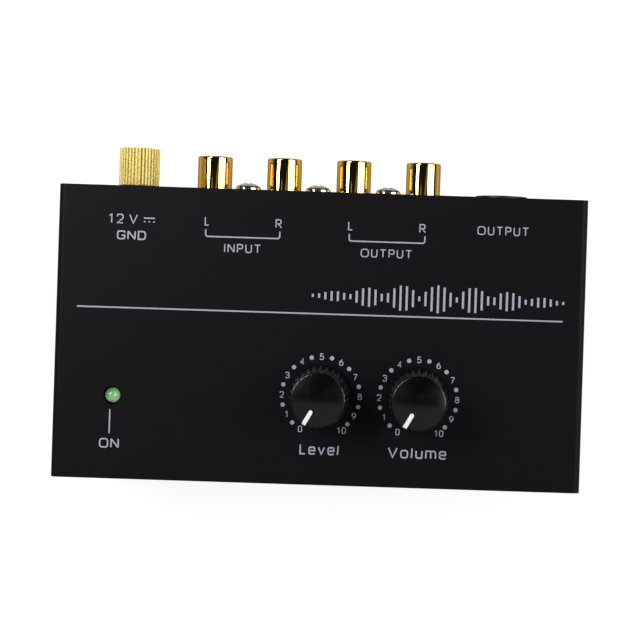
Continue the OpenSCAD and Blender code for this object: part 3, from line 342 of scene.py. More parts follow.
# %% Board with its tracks, and banded resistors
# Green solder mask over copper: the tracks show as lighter veins between darker fields
solder_mask, tree, shader, place = finish("green_solder_mask", Roughness=0.3)
field = {"feature": "DISTANCE_TO_EDGE", "distance": "EUCLIDEAN"}
cells = add(tree, "ShaderNodeTexVoronoi", {"Vector": place, "Scale": 1 / (5 * MM)}, **field)
coloured(tree, shader, ranged(tree, cells.outputs["Distance"], start=0.08, end=0.12), "#2d7a46", "#17502c")

# Metal-film resistor: pale blue lacquer with painted rings about 0.8 mm apart along its length
ring_paint, tree, shader, place = finish("blue_resistor_lacquer", Roughness=0.35)
rings = add(tree, "ShaderNodeTexWave", {"Vector": place, "Scale": 1 / (5 * MM)}, bands_direction="X")
tone = add(tree, "ShaderNodeValToRGB", {"Fac": rings.outputs["Fac"]})
tone.color_ramp.interpolation = "CONSTANT"
tone.color_ramp.elements[0].color = srgb("#5a3417")
tone.color_ramp.elements[1].position = 0.25
tone.color_ramp.elements[1].color = srgb("#7ca3b4")
tree.links.new(tone.outputs["Color"], shader.inputs["Base Color"])

# %% [markdown]
# ## Which finish goes on which CAD part
# The record names a finish for each part. The hidden parts keep their CAD shape, so painting them is a
# matter of swapping the material in their slots.

# %% Paint every CAD node
slot_finish = {
    "black_paint": powder_coat, "black_steel": black_oxide, "rubber": rubber, "nickel_plate": nickel,
    "circuit_board": solder_mask, "black_plastic": socket_pbt, "gold_plate": mirror_gold,
    "sandblasted_gold": blasted_gold, "white_plastic": white_nylon, "red_plastic": red_nylon,
    "contact_metal": tinned, "brass": brass, "wire_green": wire_cover, "aluminium": aluminium,
    "knob_plastic": knob_abs, "lamp_green": lamp_epoxy, "chip_black": chip_epoxy, "can_sleeve": can_sleeve,
    "film_red": film_dip, "resistor_blue": ring_paint, "wafer_brown": wafer,
}
for part in frame["record"]["subparts"]:
    for place_in_list in node[part["node"]].material_slots:
        place_in_list.material = slot_finish[part["material_slot"]]

# %% [markdown]
# ## Helpers that make meshes
# Three ways of making cover most of this object: copying a CAD part and softening its edges, turning a
# profile as on a lathe, and setting out copies. A corner of a profile may carry a radius, which is rounded
# off here, because hardly any real corner is sharp.


# %% Rounded paths and turned solids
def rounded(points, steps=5):
    """A path through (x, y) or (x, y, radius) points; it is closed if it ends where it starts."""
    closed = tuple(points[0][:2]) == tuple(points[-1][:2])
    distinct = points[:-1] if closed else points
    corners = [(Vector(p[:2]), p[2] if len(p) > 2 else 0.0) for p in distinct]
    path = []
    for i, (corner, radius) in enumerate(corners):
        if not radius or (not closed and i in (0, len(corners) - 1)):
            path.append(corner)
            continue
        before = corners[i - 1][0] - corner
        after = corners[(i + 1) % len(corners)][0] - corner
        half = before.angle(after) / 2
        back = min(radius / math.tan(half), before.length * 0.5, after.length * 0.5)
        start, end = corner + before.normalized() * back, corner + after.normalized() * back
        for k in range(steps + 1):
            t = k / steps
            path.append(start * (1 - t) ** 2 + corner * 2 * t * (1 - t) + end * t**2)
    return path, closed


def turned(points, steps=96, closed=False):
    """A solid turned about Z from (radius, height) points in millimetres, as bmesh."""
    profile = rounded(points)[0]
    work = bmesh.new()
    rows = []
    for k in range(steps):
        turn = 2 * math.pi * k / steps
        cosine, sine = math.cos(turn), math.sin(turn)
        rows.append([work.verts.new((p.x * cosine * MM, p.x * sine * MM, p.y * MM)) for p in profile])
    count = len(profile)
    for k in range(steps):
        here, after = rows[k], rows[(k + 1) % steps]
        for i in range(count if closed else count - 1):
            j = (i + 1) % count
            work.faces.new((here[i], after[i], after[j], here[j]))
    bmesh.ops.remove_doubles(work, verts=work.verts, dist=1e-7)
    bmesh.ops.recalc_face_normals(work, faces=work.faces)
    return work


def to_mesh(work, name, crease=35):
    """Ends a bmesh as a mesh that shades smooth except across edges sharper than the crease."""
    mesh = bpy.data.meshes.new(name)
    work.to_mesh(mesh)
    work.free()
    mesh.shade_smooth()
    mesh.set_sharp_from_angle(angle=math.radians(crease))
    return mesh


def moved(work, at, turn=Matrix.Identity(4)):
    """Puts a bmesh in its place; the place in millimetres."""
    bmesh.ops.transform(work, matrix=Matrix.Translation(Vector(at) * MM) @ turn, verts=work.verts)
    return work


# %% Pieces on their bodies
def baked(mesh, kind, **settings):
    """Runs one modifier on a mesh and returns the result as a plain mesh."""
    bench = new_object("bench", mesh)
    modifier = bench.modifiers.new("step", kind)
    for name, value in settings.items():
        if name == "sizes":
            sockets = modifier.node_group.interface.items_tree
            names = {s.name: s.identifier for s in sockets if s.in_out == "INPUT"}
            for label, size in value.items():
                modifier[names[label]] = size
        else:
            setattr(modifier, name, value)
    bpy.context.view_layer.update()
    ready = bench.evaluated_get(bpy.context.evaluated_depsgraph_get())
    result = bpy.data.meshes.new_from_object(ready)
    bench.modifiers.remove(modifier)
    bpy.data.objects.remove(bench)
    return result


def piece(name, mesh, material, slot, body, *cad):
    """Puts a finished mesh in the scene, on its body, and has it stand for CAD nodes."""
    mesh.materials.clear()
    mesh.materials.append(material)
    made = new_object(name, mesh)
    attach(made, body)
    if cad:
        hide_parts(*cad)
    print(f"{name}: {len(mesh.polygons)} faces on {body}, for {len(cad)} CAD nodes")


def softened(cad, edge, crease=32):
    """A copy of a CAD node with its flats joined and its edges rounded by a width in millimetres."""
    work = bmesh.new()
    work.from_mesh(node[cad].data)
    bmesh.ops.remove_doubles(work, verts=work.verts, dist=2e-6)
    bmesh.ops.dissolve_limit(work, angle_limit=math.radians(0.4), verts=work.verts, edges=work.edges)
    folds = [e for e in work.edges if len(e.link_faces) == 2]
    sharp = [e for e in folds if e.calc_face_angle() > math.radians(crease)]
    round_off = {"segments": 2, "profile": 0.5, "affect": "EDGES", "clamp_overlap": True}
    bmesh.ops.bevel(work, geom=sharp, offset=edge * MM, **round_off)
    mesh = to_mesh(work, cad, crease)
    return baked(mesh, "WEIGHTED_NORMAL", keep_sharp=True, weight=90)


# %% [markdown]
# ## Trees for what repeats
# The knobs' flutes, the thumb nut's ribs, the screws, feet and barrels, the dots of the dials and the bars
# of the printed wave all repeat by a rule. A loop in Python could place them, but a Geometry Nodes tree
# states the rule with named sizes that anyone can change. Each tree ends by making its instances real and
# giving them their finish.


# %% Start and end of a geometry tree
def geometry_tree(name, **sizes):
    """A new tree with a geometry input and the named inputs; returns it and its input sockets."""
    tree = bpy.data.node_groups.new(name, "GeometryNodeTree")
    tree.interface.new_socket("Geometry", in_out="INPUT", socket_type="NodeSocketGeometry")
    for label, kind in sizes.items():
        label = label.replace("_", " ")
        tree.interface.new_socket(label, in_out="INPUT", socket_type="NodeSocket" + kind)
    tree.interface.new_socket("Geometry", in_out="OUTPUT", socket_type="NodeSocketGeometry")
    return tree, add(tree, "NodeGroupInput").outputs


def end_tree(tree, geometry, given):
    """Makes the instances real, sets the finish and closes the tree."""
    real = add(tree, "GeometryNodeRealizeInstances", {"Geometry": geometry})
    coated = add(tree, "GeometryNodeSetMaterial", {"Geometry": real.outputs[0], "Material": given["Finish"]})
    add(tree, "NodeGroupOutput", {"Geometry": coated.outputs[0]})
    print("tree", tree.name, "of", len(tree.nodes), "nodes")


# %% Tree: grooves cut lengthwise into a turned wall
# A point stays at its radius, unless the wall, less the groove at its angle, lies further in; over the last
# fifth of the height the grooves run out to a share of their depth
groove_sizes = ("Grooves", "Depth", "Top_share", "Half_share", "Foot_radius", "Top_radius", "Height")
grooved, given = geometry_tree("grooved", **dict.fromkeys(groove_sizes, "Float"), Finish="Material")
old_spot = add(grooved, "GeometryNodeInputPosition").outputs[0]
spot = add(grooved, "ShaderNodeSeparateXYZ", {0: old_spot}).outputs
flat = add(grooved, "ShaderNodeCombineXYZ", {0: spot[0], 1: spot[1]})
radius = add(grooved, "ShaderNodeVectorMath", {0: flat.outputs[0]}, operation="LENGTH").outputs["Value"]
turns = maths(grooved, "DIVIDE", maths(grooved, "ARCTAN2", spot[1], spot[0]), 2 * math.pi)
within = maths(grooved, "FRACT", maths(grooved, "MULTIPLY", turns, given["Grooves"]))
ratio = maths(grooved, "DIVIDE", maths(grooved, "SUBTRACT", within, 0.5), given["Half share"])
bowl = maths(grooved, "SUBTRACT", 1.0, maths(grooved, "MULTIPLY", ratio, ratio))
cut = maths(grooved, "MULTIPLY", maths(grooved, "MAXIMUM", bowl, 0.0), given["Depth"])
rise = maths(grooved, "DIVIDE", spot[2], given["Height"])
cut = maths(grooved, "MULTIPLY", cut, ranged(grooved, rise, start=0.8, low=1.0, high=given["Top share"]))
wall_range = {"end": given["Height"], "low": given["Foot radius"], "high": given["Top radius"]}
wall = ranged(grooved, spot[2], **wall_range, clamp=False)
kept = maths(grooved, "MINIMUM", radius, maths(grooved, "SUBTRACT", wall, cut))
shrink = maths(grooved, "DIVIDE", kept, maths(grooved, "MAXIMUM", radius, 1e-6))
inward = add(grooved, "ShaderNodeCombineXYZ", {0: shrink, 1: shrink, 2: 1.0})
new_spot = add(grooved, "ShaderNodeVectorMath", {0: old_spot, 1: inward.outputs[0]}, operation="MULTIPLY")
new_place = {"Geometry": given["Geometry"], "Position": new_spot.outputs[0]}
shaped = add(grooved, "GeometryNodeSetPosition", new_place)
end_tree(grooved, shaped.outputs[0], given)

# %% Tree: copies of one part, set out on points that carry their turn
set_out, given = geometry_tree("set_out", Part="Object", Finish="Material")
part = add(set_out, "GeometryNodeObjectInfo", {"Object": given["Part"]})
facing = add(set_out, "GeometryNodeInputNamedAttribute", {"Name": "turn"}, data_type="FLOAT_VECTOR")
each = {"Points": given["Geometry"], "Instance": part.outputs["Geometry"], "Rotation": facing.outputs[0]}
row = add(set_out, "GeometryNodeInstanceOnPoints", each)
end_tree(set_out, row.outputs[0], given)


def copies(work, places, material):
    """One mesh of copies of a bmesh at (x, y, z, turn about X, about Y, about Z), in mm and degrees."""
    pattern = new_object("pattern", to_mesh(work, "pattern"))
    spots = bpy.data.meshes.new("spots")
    spots.from_pydata([[v * MM for v in p[:3]] for p in places], [], [])
    spots.attributes.new("turn", "FLOAT_VECTOR", "POINT")
    for at, p in zip(spots.attributes["turn"].data, places):
        at.vector = [math.radians(v) for v in p[3:]]
    result = baked(spots, "NODES", node_group=set_out, sizes={"Part": pattern, "Finish": material})
    bpy.data.objects.remove(pattern)
    return result


# %% [markdown]
# ## Sheet metal
# The case is a folded channel of 1 mm steel over a folded tray. Powder coat flows back from sharp edges and
# leaves them slightly round, which is what catches the light along a box's outline. So the CAD sheets are
# copied, their flats joined, and every edge gets a small round.

# %% Cover and tray
piece("cover", softened("top_cover", 0.16), powder_coat, "black_paint", "case", "top_cover")
piece("tray", softened("chassis", 0.16), powder_coat, "black_paint", "case", "chassis")

# %% [markdown]
# ## Knobs
# Each knob is a moulded skirt, wider at the foot, with a shallow dome on top and 28 flutes for the fingers.
# It could be carved with a boolean for each flute, which leaves ragged faces. Turning the plain knob and
# letting one tree draw the flutes keeps the mesh even. A soft edge between dome and side gives the thin
# bright line.

# %% Fluted knobs
KNOB_Z, KNOB_H = 38.6, 13.4  # height of the foot over the table, and of the knob
KNOB_FOOT, KNOB_TOP, DOME_R = 7.3, 6.1, 24.0
FLUTES, GAP_OUT, GAP_IN, BORE_R = 28, 4.7, 4.3, 3.05  # the gap rings the hub, whose bore takes the shaft
DIALS = {"level": (0.75, -17.8), "volume": (23.15, -17.8)}
POINTER_ANGLE = math.radians(-119)  # a degree before the number 0
EDGE = math.asin(KNOB_TOP / DOME_R)
slopes = [EDGE * i / 12 for i in range(12)]
dome = [(DOME_R * math.sin(a), KNOB_H - DOME_R + DOME_R * math.cos(a)) for a in slopes]
rim_h = KNOB_H - DOME_R * (1 - math.cos(EDGE))


def wall_at(height):
    """Radius of the knob's plain wall at a height above its foot."""
    return KNOB_FOOT - (KNOB_FOOT - KNOB_TOP) * height / KNOB_H


side_heights = [rim_h - 0.9 - 1.6 * i for i in range(8)]
side = [(wall_at(h), h) for h in side_heights]
skirt = dome + [(wall_at(rim_h), rim_h, 0.4)] + side + [(KNOB_FOOT, 0, 0.2)]
gap_top, bore_top = KNOB_H - 2.2, KNOB_H - 2.55
skirt += [(GAP_OUT, 0), (GAP_OUT, gap_top), (GAP_IN, gap_top), (GAP_IN, 0)]
skirt += [(BORE_R, 0), (BORE_R, bore_top), (0, bore_top)]
flutes = {
    "Grooves": float(FLUTES), "Depth": 0.32 * MM, "Top share": 0.4, "Half share": 0.36,
    "Foot radius": KNOB_FOOT * MM, "Top radius": KNOB_TOP * MM, "Height": KNOB_H * MM, "Finish": knob_abs,
}
for name, (x, y) in DIALS.items():
    blank = to_mesh(turned(skirt, steps=FLUTES * 12), name, 50)
    carved = baked(blank, "NODES", node_group=grooved, sizes=flutes)
    carved.transform(Matrix.Translation(Vector((x, y, KNOB_Z)) * MM))
    piece(f"{name}_grip", carved, knob_abs, "knob_plastic", f"{name}_control", f"{name}_knob")

# %% [markdown]
# ## Pointers
# A white line is moulded into the top of each knob and runs over the edge and down the side. It follows the
# dome, so a straight bar won't do: rows of points walk along the knob's own profile, a tenth of a
# millimetre proud of it, and the inner end is round like a brush stroke.


# %% White pointers
def walled(work, here, after):
    """Faces between two rings of as many points."""
    for k in range(len(here)):
        j = (k + 1) % len(here)
        work.faces.new((here[k], here[j], after[j], after[k]))


def pointer(x, y):
    """A raised line that follows the knob's profile from near its middle over the edge."""
    inner, outer, steps, half, proud, deep = 2.5, 6.0, 14, 0.46, 0.1, 0.4
    reach = [inner + (outer - inner) * i / steps for i in range(steps + 1)]
    line = [Vector((r, KNOB_H - DOME_R + math.sqrt(DOME_R**2 - r * r))) for r in reach]
    line += [Vector((wall_at(h) - 0.02, h)) for h in [KNOB_H - d for d in (1.1, 1.8, 2.6, 3.4)]]
    work = bmesh.new()
    rows = []
    for i, p in enumerate(line):
        ahead = (line[min(i + 1, len(line) - 1)] - line[max(i - 1, 0)]).normalized()
        out = Vector((-ahead.y, ahead.x))
        start = p.x - inner if i < len(reach) else half
        wide = half if start >= half else math.sqrt(max(half**2 - (half - start) ** 2, 0.0025))
        top, under = p + out * proud, p - out * deep
        ring = [(top, -wide), (top, -wide * 0.5), (top, wide * 0.5), (top, wide)]
        ring += [(under, wide), (under, -wide)]
        rows.append([work.verts.new((q.x * MM, w * MM, q.y * MM)) for q, w in ring])
    for here, after in zip(rows, rows[1:]):
        walled(work, here, after)
    work.faces.new(rows[0])
    work.faces.new(rows[-1])
    bmesh.ops.recalc_face_normals(work, faces=work.faces)
    return moved(work, (x, y, KNOB_Z), Matrix.Rotation(POINTER_ANGLE, 4, "Z"))


for name, (x, y) in DIALS.items():
    line_mesh = to_mesh(pointer(x, y), name)
    piece(f"{name}_mark", line_mesh, white_fill, "white_plastic", f"{name}_control", f"{name}_pointer")

# %% [markdown]
# ## The pilot lamp
# A green indicator lamp is cast epoxy in one go: a flange, a short barrel and a dome that just clears the
# hole in the cover. A lathe profile gives all three.

# %% Lamp
BEAD_R, BEAD_Z, LAMP_FOOT = 1.75, 4.5, 32.9  # the dome's centre is BEAD_Z above the flange's foot
rounds = [math.radians(90 * i / 14) for i in range(15)]
bead = [(BEAD_R * math.sin(a), BEAD_Z + BEAD_R * math.cos(a)) for a in rounds]
lamp_shape = turned(bead + [(BEAD_R, 1.0), (2.1, 1.0, 0.1), (2.1, 0, 0.1), (0, 0)], 64)
lamp_mesh = to_mesh(moved(lamp_shape, (LAMP_X, LAMP_Y, LAMP_FOOT)), "lamp")
piece("lamp", lamp_mesh, lamp_epoxy, "lamp_green", "case", "lamp_lens")

# %% [markdown]
# ## Ground post
# The thumb nut is bar stock with straight ribs for the fingers, blasted before it was plated. The same tree
# that flutes the knobs cuts its ribs, with more and narrower grooves and a wall that doesn't taper.

# %% Thumb nut
RIBS, NUT_R, NUT_L, NUT_Y = 36, 4.75, 8.8, 29.6
REARWARD = Matrix.Rotation(math.radians(-90), 4, "X")
outside = [(0, NUT_L), (NUT_R, NUT_L, 0.3), (NUT_R, 4.4), (NUT_R, 0, 0.25)]
blank = turned(outside + [(2.05, 0), (2.05, 7.6), (0, 7.6)], RIBS * 12)
ribs = {
    "Grooves": float(RIBS), "Depth": 0.35 * MM, "Top share": 1.0, "Half share": 0.34,
    "Foot radius": NUT_R * MM, "Top radius": NUT_R * MM, "Height": NUT_L * MM, "Finish": blasted_gold,
}
nut = baked(to_mesh(blank, "nut", 50), "NODES", node_group=grooved, sizes=ribs)
nut.transform(Matrix.Translation(Vector((POST_X, NUT_Y, POST_Z)) * MM) @ REARWARD)
piece("thumb_nut", nut, blasted_gold, "sandblasted_gold", "ground_nut", "ground_thumb_nut")
piece("clamp_washer", softened("ground_washer", 0.08), brass, "brass", "ground_washer", "ground_washer")

# %% [markdown]
# ## Phono sockets
# A phono barrel is a thin turned tube, polished and gold plated, and its rim is rolled over so that a plug
# slides on. It is a mirror, so its shape matters more than its colour: a lathe profile with a really round
# rim. All four are alike, which makes them a case for the setting-out tree.

# %% Gold barrels
SOCKETS = {"in_left": -27.4, "in_right": -10.6, "out_left": 6.2, "out_right": 23.0}
BARREL_Y, SOCKET_Z = 22.1, 20  # where the barrels' inner ends stand, and the height of the row
outer_turn = [math.radians(11.25 * i) for i in range(9)]
inner_turn = [math.radians(22.5 * i) for i in range(1, 5)]
outer_lip = [(3.8 + 0.35 * math.cos(a), 15.05 + 0.45 * math.sin(a)) for a in outer_turn]
inner_lip = [(3.8 - 0.15 * math.sin(a), 15.35 + 0.15 * math.cos(a)) for a in inner_turn]
tube = [(3.65, 0), (4.4, 0), (4.4, 7.3), (4.15, 7.3), *outer_lip, *inner_lip, (3.65, 0)]
barrel = turned(tube, 128, closed=True)
row = [(x, BARREL_Y, SOCKET_Z, -90, 0, 0) for x in SOCKETS.values()]
barrel_nodes = [f"rca_barrel_{s}" for s in SOCKETS]
piece("phono_barrels", copies(barrel, row, mirror_gold), mirror_gold, "gold_plate", "case", *barrel_nodes)

# %% Insulators and spring contacts
for side_name, colour, slot in (("left", white_nylon, "white_plastic"), ("right", red_nylon, "red_plastic")):
    for way_name in ("in", "out"):
        cad = f"rca_insulator_{way_name}_{side_name}"
        piece(cad.replace("rca_", "phono_"), softened(cad, 0.06), colour, slot, "case", cad)
for socket in SOCKETS:
    cad = f"rca_contact_{socket}"
    piece(f"phono_contact_{socket}", softened(cad, 0.03), tinned, "contact_metal", "case", cad)

# %% [markdown]
# ## Plastic and metal parts of the rear panel
# The black block behind the phono sockets, the power socket and the quarter-inch jack are plain mouldings.
# Their CAD shape is right, so they are copied with softened edges like the sheet metal.

# %% Mouldings and sleeves
for cad, edge, colour, slot in (
    ("rca_housing", 0.08, socket_pbt, "black_plastic"),
    ("dc_socket_body", 0.1, socket_pbt, "black_plastic"),
    ("jack_body", 0.15, socket_pbt, "black_plastic"),
    ("jack_sleeve", 0.06, tinned, "contact_metal"),
    ("dc_socket_pin", 0.06, tinned, "contact_metal"),
    ("ground_stud", 0.1, brass, "brass"),
):
    piece(f"soft_{cad}", softened(cad, edge), colour, slot, "case", cad)

# %% [markdown]
# ## Screws and feet
# Pan-head screws hold the phono block and the cover. One screw is turned with a domed head, its cross recess
# is cut with a boolean, and the setting-out tree puts a copy at each place. The rubber feet are turned too.


# %% Screws
RECESS, RECESS_Z = (3.2, 0.75, 1.6), 2.2  # length, width and depth of an arm of the cross, and its middle


def pan_screw(shank):
    """A pan-head screw along Z with its head above zero, in millimetres."""
    head = [(0, 2.4), (1.0, 2.29), (1.9, 1.98), (2.65, 1.58, 0.4), (3.0, 1.1), (3.0, 0, 0.12)]
    body = to_mesh(turned(head + [(1.5, 0), (1.5, -shank, 0.3), (0, -shank)], 64), "screw")
    cross = bmesh.new()
    arm_size = Matrix.Diagonal((*[side * MM for side in RECESS], 1))
    raised = Matrix.Translation((0, 0, RECESS_Z * MM))
    for turn in (0, 90):
        cube = bmesh.ops.create_cube(cross, size=1.0)["verts"]
        arm = Matrix.Rotation(math.radians(turn), 4, "Z") @ arm_size
        bmesh.ops.transform(cross, matrix=raised @ arm, verts=cube)
    cutter = new_object("cutter", to_mesh(cross, "cutter"))
    cut = {"operation": "DIFFERENCE", "solver": "EXACT", "use_self": True}
    cut_body = baked(body, "BOOLEAN", object=cutter, **cut)
    bpy.data.objects.remove(cutter)
    work = bmesh.new()
    work.from_mesh(cut_body)
    return work


HALF_CASE, REAR_FACE = 61, 29.1
block_row = [(x, REAR_FACE, 22.5, -90, 0, 0) for x in (-19.0, -2.2, 14.6)]
block_screws = copies(pan_screw(8.0), block_row, nickel)
piece("block_screws", block_screws, nickel, "nickel_plate", "case", "rca_screws")
side_rows = [(s * HALF_CASE, y, 6.6, 0, 90 * s, 0) for s in (-1, 1) for y in (14.35, -23.65)]
side_screws = copies(pan_screw(4.0), side_rows, black_oxide)
piece("side_screws", side_screws, black_oxide, "black_steel", "case", "cover_screws")

# %% Feet
foot = turned([(0, 0), (3.5, 0, 0.4), (4.0, 2.0), (0, 2.0)], 64)
corners = [(x, y, 0, 0, 0, 0) for x in (-50, 50) for y in (18.1, -27.4)]
piece("feet", copies(foot, corners, rubber), rubber, "rubber", "case", "rubber_feet")

# %% [markdown]
# ## Print on the cover
# The lettering is screen printed: a film of pale ink two hundredths of a millimetre thick. A font could draw
# it, but the real letters are made of even pen strokes with round corners, so they are drawn that way: each
# letter is a few strokes in a box one unit high, and a ribbon of the pen's width follows them.

# %% Letters as pen strokes
# Each letter: its width, then its strokes, whose third number rounds a corner; a stroke that ends where it
# starts is closed
SQUARE = {
    "G": (0.74, [[(0.74, 0.78), (0.74, 1, 0.2), (0, 1, 0.32), (0, 0, 0.32), (0.74, 0, 0.2), (0.74, 0.46),
                  (0.42, 0.46)]]),
    "N": (0.74, [[(0, 0), (0, 1)], [(0.02, 1), (0.72, 0)], [(0.74, 0), (0.74, 1)]]),
    "D": (0.72, [[(0, 0), (0, 1), (0.72, 1, 0.34), (0.72, 0, 0.34), (0, 0)]]),
    "O": (0.82, [[(0, 0, 0.34), (0, 1, 0.34), (0.82, 1, 0.34), (0.82, 0, 0.34), (0, 0, 0.34)]]),
    "V": (0.76, [[(0, 1), (0.38, 0), (0.76, 1)]]),
    "L": (0.46, [[(0, 1), (0, 0), (0.46, 0)]]),
    "e": (0.52, [[(0, 0.38), (0.52, 0.38), (0.52, 0.76, 0.24), (0, 0.76, 0.24), (0, 0, 0.26),
                  (0.46, 0, 0.1), (0.5, 0.1)]]),
    "v": (0.54, [[(0, 0.76), (0.27, 0), (0.54, 0.76)]]),
    "l": (0.05, [[(0, 0), (0.05, 1)]]),
    "o": (0.58, [[(0, 0, 0.26), (0, 0.76, 0.26), (0.58, 0.76, 0.26), (0.58, 0, 0.26), (0, 0, 0.26)]]),
    "u": (0.52, [[(0, 0.76), (0, 0, 0.24), (0.52, 0, 0.12), (0.52, 0.76)]]),
    "m": (0.86, [[(0, 0), (0, 0.76), (0.86, 0.76, 0.24), (0.86, 0)], [(0.43, 0.76), (0.43, 0)]]),
    "1": (0.22, [[(0, 0.82), (0.22, 1), (0.22, 0)]]),
    "2": (0.56, [[(0, 0.74), (0, 1, 0.26), (0.56, 1, 0.26), (0.56, 0.55, 0.2), (0, 0), (0.56, 0)]]),
    "=": (1.1, [[(0, 0.64), (1.1, 0.64)], [(0, 0.22), (0.16, 0.22)], [(0.47, 0.22), (0.63, 0.22)],
                [(0.94, 0.22), (1.1, 0.22)]]),
}
GROTESK = {
    "I": (0.0, [[(0, 0), (0, 1)]]),
    "N": (0.64, [[(0, 0), (0, 1)], [(0.02, 1), (0.62, 0)], [(0.64, 0), (0.64, 1)]]),
    "P": (0.54, [[(0, 0), (0, 1), (0.54, 1, 0.25), (0.54, 0.46, 0.25), (0, 0.46)]]),
    "U": (0.58, [[(0, 1), (0, 0, 0.28), (0.58, 0, 0.28), (0.58, 1)]]),
    "T": (0.6, [[(0, 1), (0.6, 1)], [(0.3, 1), (0.3, 0)]]),
    "O": (0.78, [[(0, 0, 0.38), (0, 1, 0.38), (0.78, 1, 0.38), (0.78, 0, 0.38), (0, 0, 0.38)]]),
    "L": (0.44, [[(0, 1), (0, 0), (0.44, 0)]]),
    "R": (0.6, [[(0, 0), (0, 1), (0.56, 1, 0.25), (0.56, 0.48, 0.25), (0, 0.48)], [(0.28, 0.48), (0.6, 0)]]),
}
DIGITS = {
    "0": (0.5, [[(0, 0, 0.25), (0, 1, 0.25), (0.5, 1, 0.25), (0.5, 0, 0.25), (0, 0, 0.25)]]),
    "1": (0.24, [[(0, 0.76), (0.24, 1), (0.24, 0)]]),
    "2": (0.5, [[(0, 0.76), (0, 1, 0.24), (0.5, 1, 0.24), (0.5, 0.56, 0.2), (0, 0), (0.5, 0)]]),
    "3": (0.5, [[(0, 0.82), (0, 1, 0.22), (0.47, 1, 0.22), (0.47, 0.54, 0.2), (0.16, 0.54)],
                [(0.16, 0.54), (0.5, 0.54, 0.24), (0.5, 0, 0.24), (0, 0, 0.22), (0, 0.2)]]),
    "4": (0.54, [[(0.4, 0), (0.4, 1), (0, 0.3), (0.54, 0.3)]]),
    "5": (0.5, [[(0.46, 1), (0.06, 1), (0.02, 0.54), (0.5, 0.62, 0.26), (0.5, 0, 0.26), (0, 0, 0.22),
                 (0, 0.18)]]),
    "6": (0.5, [[(0, 0, 0.25), (0, 0.6, 0.25), (0.5, 0.6, 0.25), (0.5, 0, 0.25), (0, 0, 0.25)],
                [(0, 0.3), (0, 0.66, 0.3), (0.4, 1)]]),
    "7": (0.5, [[(0, 1), (0.5, 1), (0.16, 0)]]),
    "8": (0.5, [[(0, 0, 0.24), (0, 0.53, 0.24), (0.5, 0.53, 0.24), (0.5, 0, 0.24), (0, 0, 0.24)],
                [(0.04, 0.53, 0.2), (0.04, 1, 0.2), (0.46, 1, 0.2), (0.46, 0.53, 0.2), (0.04, 0.53, 0.2)]]),
    "9": (0.5, [[(0, 0.4, 0.25), (0, 1, 0.25), (0.5, 1, 0.25), (0.5, 0.4, 0.25), (0, 0.4, 0.25)],
                [(0.5, 0.7), (0.5, 0.34, 0.3), (0.1, 0)]]),
}
print("letters drawn", len(SQUARE) + len(GROTESK) + len(DIGITS))

# %% Ribbons of ink
COVER_TOP, INK, SUNK = 38.0, 0.02, 0.005
LIFT, LAYERS = 0.0002, 8  # crossing strokes differ in height and don't flicker
MITRE = 0.62  # limits how far a corner's point sticks out
SPACE = 0.1  # width of a blank, besides the gap before it
print_work = bmesh.new()
strokes_drawn = 0


def ribbon(points, pen):
    """A closed slab of ink along a stroke."""
    global strokes_drawn
    path, closed = rounded(points)
    count = len(path)
    top, under = COVER_TOP + INK + LIFT * (strokes_drawn % LAYERS), COVER_TOP - SUNK
    strokes_drawn += 1
    rows = []
    for i, p in enumerate(path):
        before = path[i - 1] if closed or i else None
        after = path[(i + 1) % count] if closed or i < count - 1 else None
        legs = [b - a for a, b in ((before, p), (p, after)) if a is not None and b is not None]
        ways = [leg.normalized() for leg in legs if leg.length > 1e-6]
        mean = sum(ways, Vector((0, 0))).normalized()
        out = Vector((-mean.y, mean.x)) * (pen / 2) / max(MITRE, mean.dot(ways[0]))
        ends = [(p + out, top), (p - out, top), (p - out, under), (p + out, under)]
        rows.append([print_work.verts.new((q.x * MM, q.y * MM, z * MM)) for q, z in ends])
    for i in range(count if closed else count - 1):
        walled(print_work, rows[i], rows[(i + 1) % count])
    if not closed:
        print_work.faces.new(rows[0])
        print_work.faces.new(rows[-1])


def words(text, alphabet, x, y, width, height, pen, gap=0.36):
    """Letters whose ink fills a box of the given width and height, in millimetres, round its centre."""
    places, reach = [], 0.0
    for letter in text:
        if letter == " ":
            reach += SPACE
            continue
        places.append((reach, alphabet[letter][1]))
        reach += alphabet[letter][0] + gap
    tall = height - pen
    wide = (width - pen) / (reach - gap) if reach > gap else tall
    left = x - (width - pen) / 2 if reach > gap else x
    foot = y - tall / 2
    for start, strokes in places:
        for stroke in strokes:
            spots = [(left + (start + p[0]) * wide, foot + p[1] * tall) for p in stroke]
            ribbon([(*at, *[r * tall for r in p[2:]]) for at, p in zip(spots, stroke)], pen)


# %% Names, brackets and rules
words("12 V =", SQUARE, -43.89, 21.42, 10.7, 2.25, 0.3, gap=0.58)
words("GND", SQUARE, -43.93, 17.68, 6.7, 2.1, 0.33)
words("ON", SQUARE, -47.57, -30.24, 4.57, 2.24, 0.32)
words("Level", SQUARE, 0.8, -30.22, 9.06, 2.4, 0.33)
words("Volume", SQUARE, 23.29, -30.34, 13.44, 2.5, 0.33)
words("INPUT", GROTESK, -18.31, 15.44, 8.45, 2.03, 0.26)
words("OUTPUT", GROTESK, 14.77, 15.34, 11.81, 1.96, 0.26)
words("OUTPUT", GROTESK, 41.45, 21.35, 11.85, 2.03, 0.26)
for letter, x, y, width in (
    ("L", -26.65, 21.46, 1.08), ("R", -10.16, 21.4, 1.5), ("L", 6.34, 21.43, 1.1), ("R", 22.94, 21.37, 1.5),
):
    words(letter, GROTESK, x, y, width, 2.05, 0.27)
for left, right in ((-26.9, -9.85), (6.12, 23.52)):
    ribbon([(left, 19.6), (left, 17.97, 0.6), (right, 17.97, 0.6), (right, 19.6)], 0.31)
ribbon([(-55.9, 1.0), (55.8, 1.0)], 0.33)
ribbon([(-47.6, -22.46), (-47.6, -27.98)], 0.3)

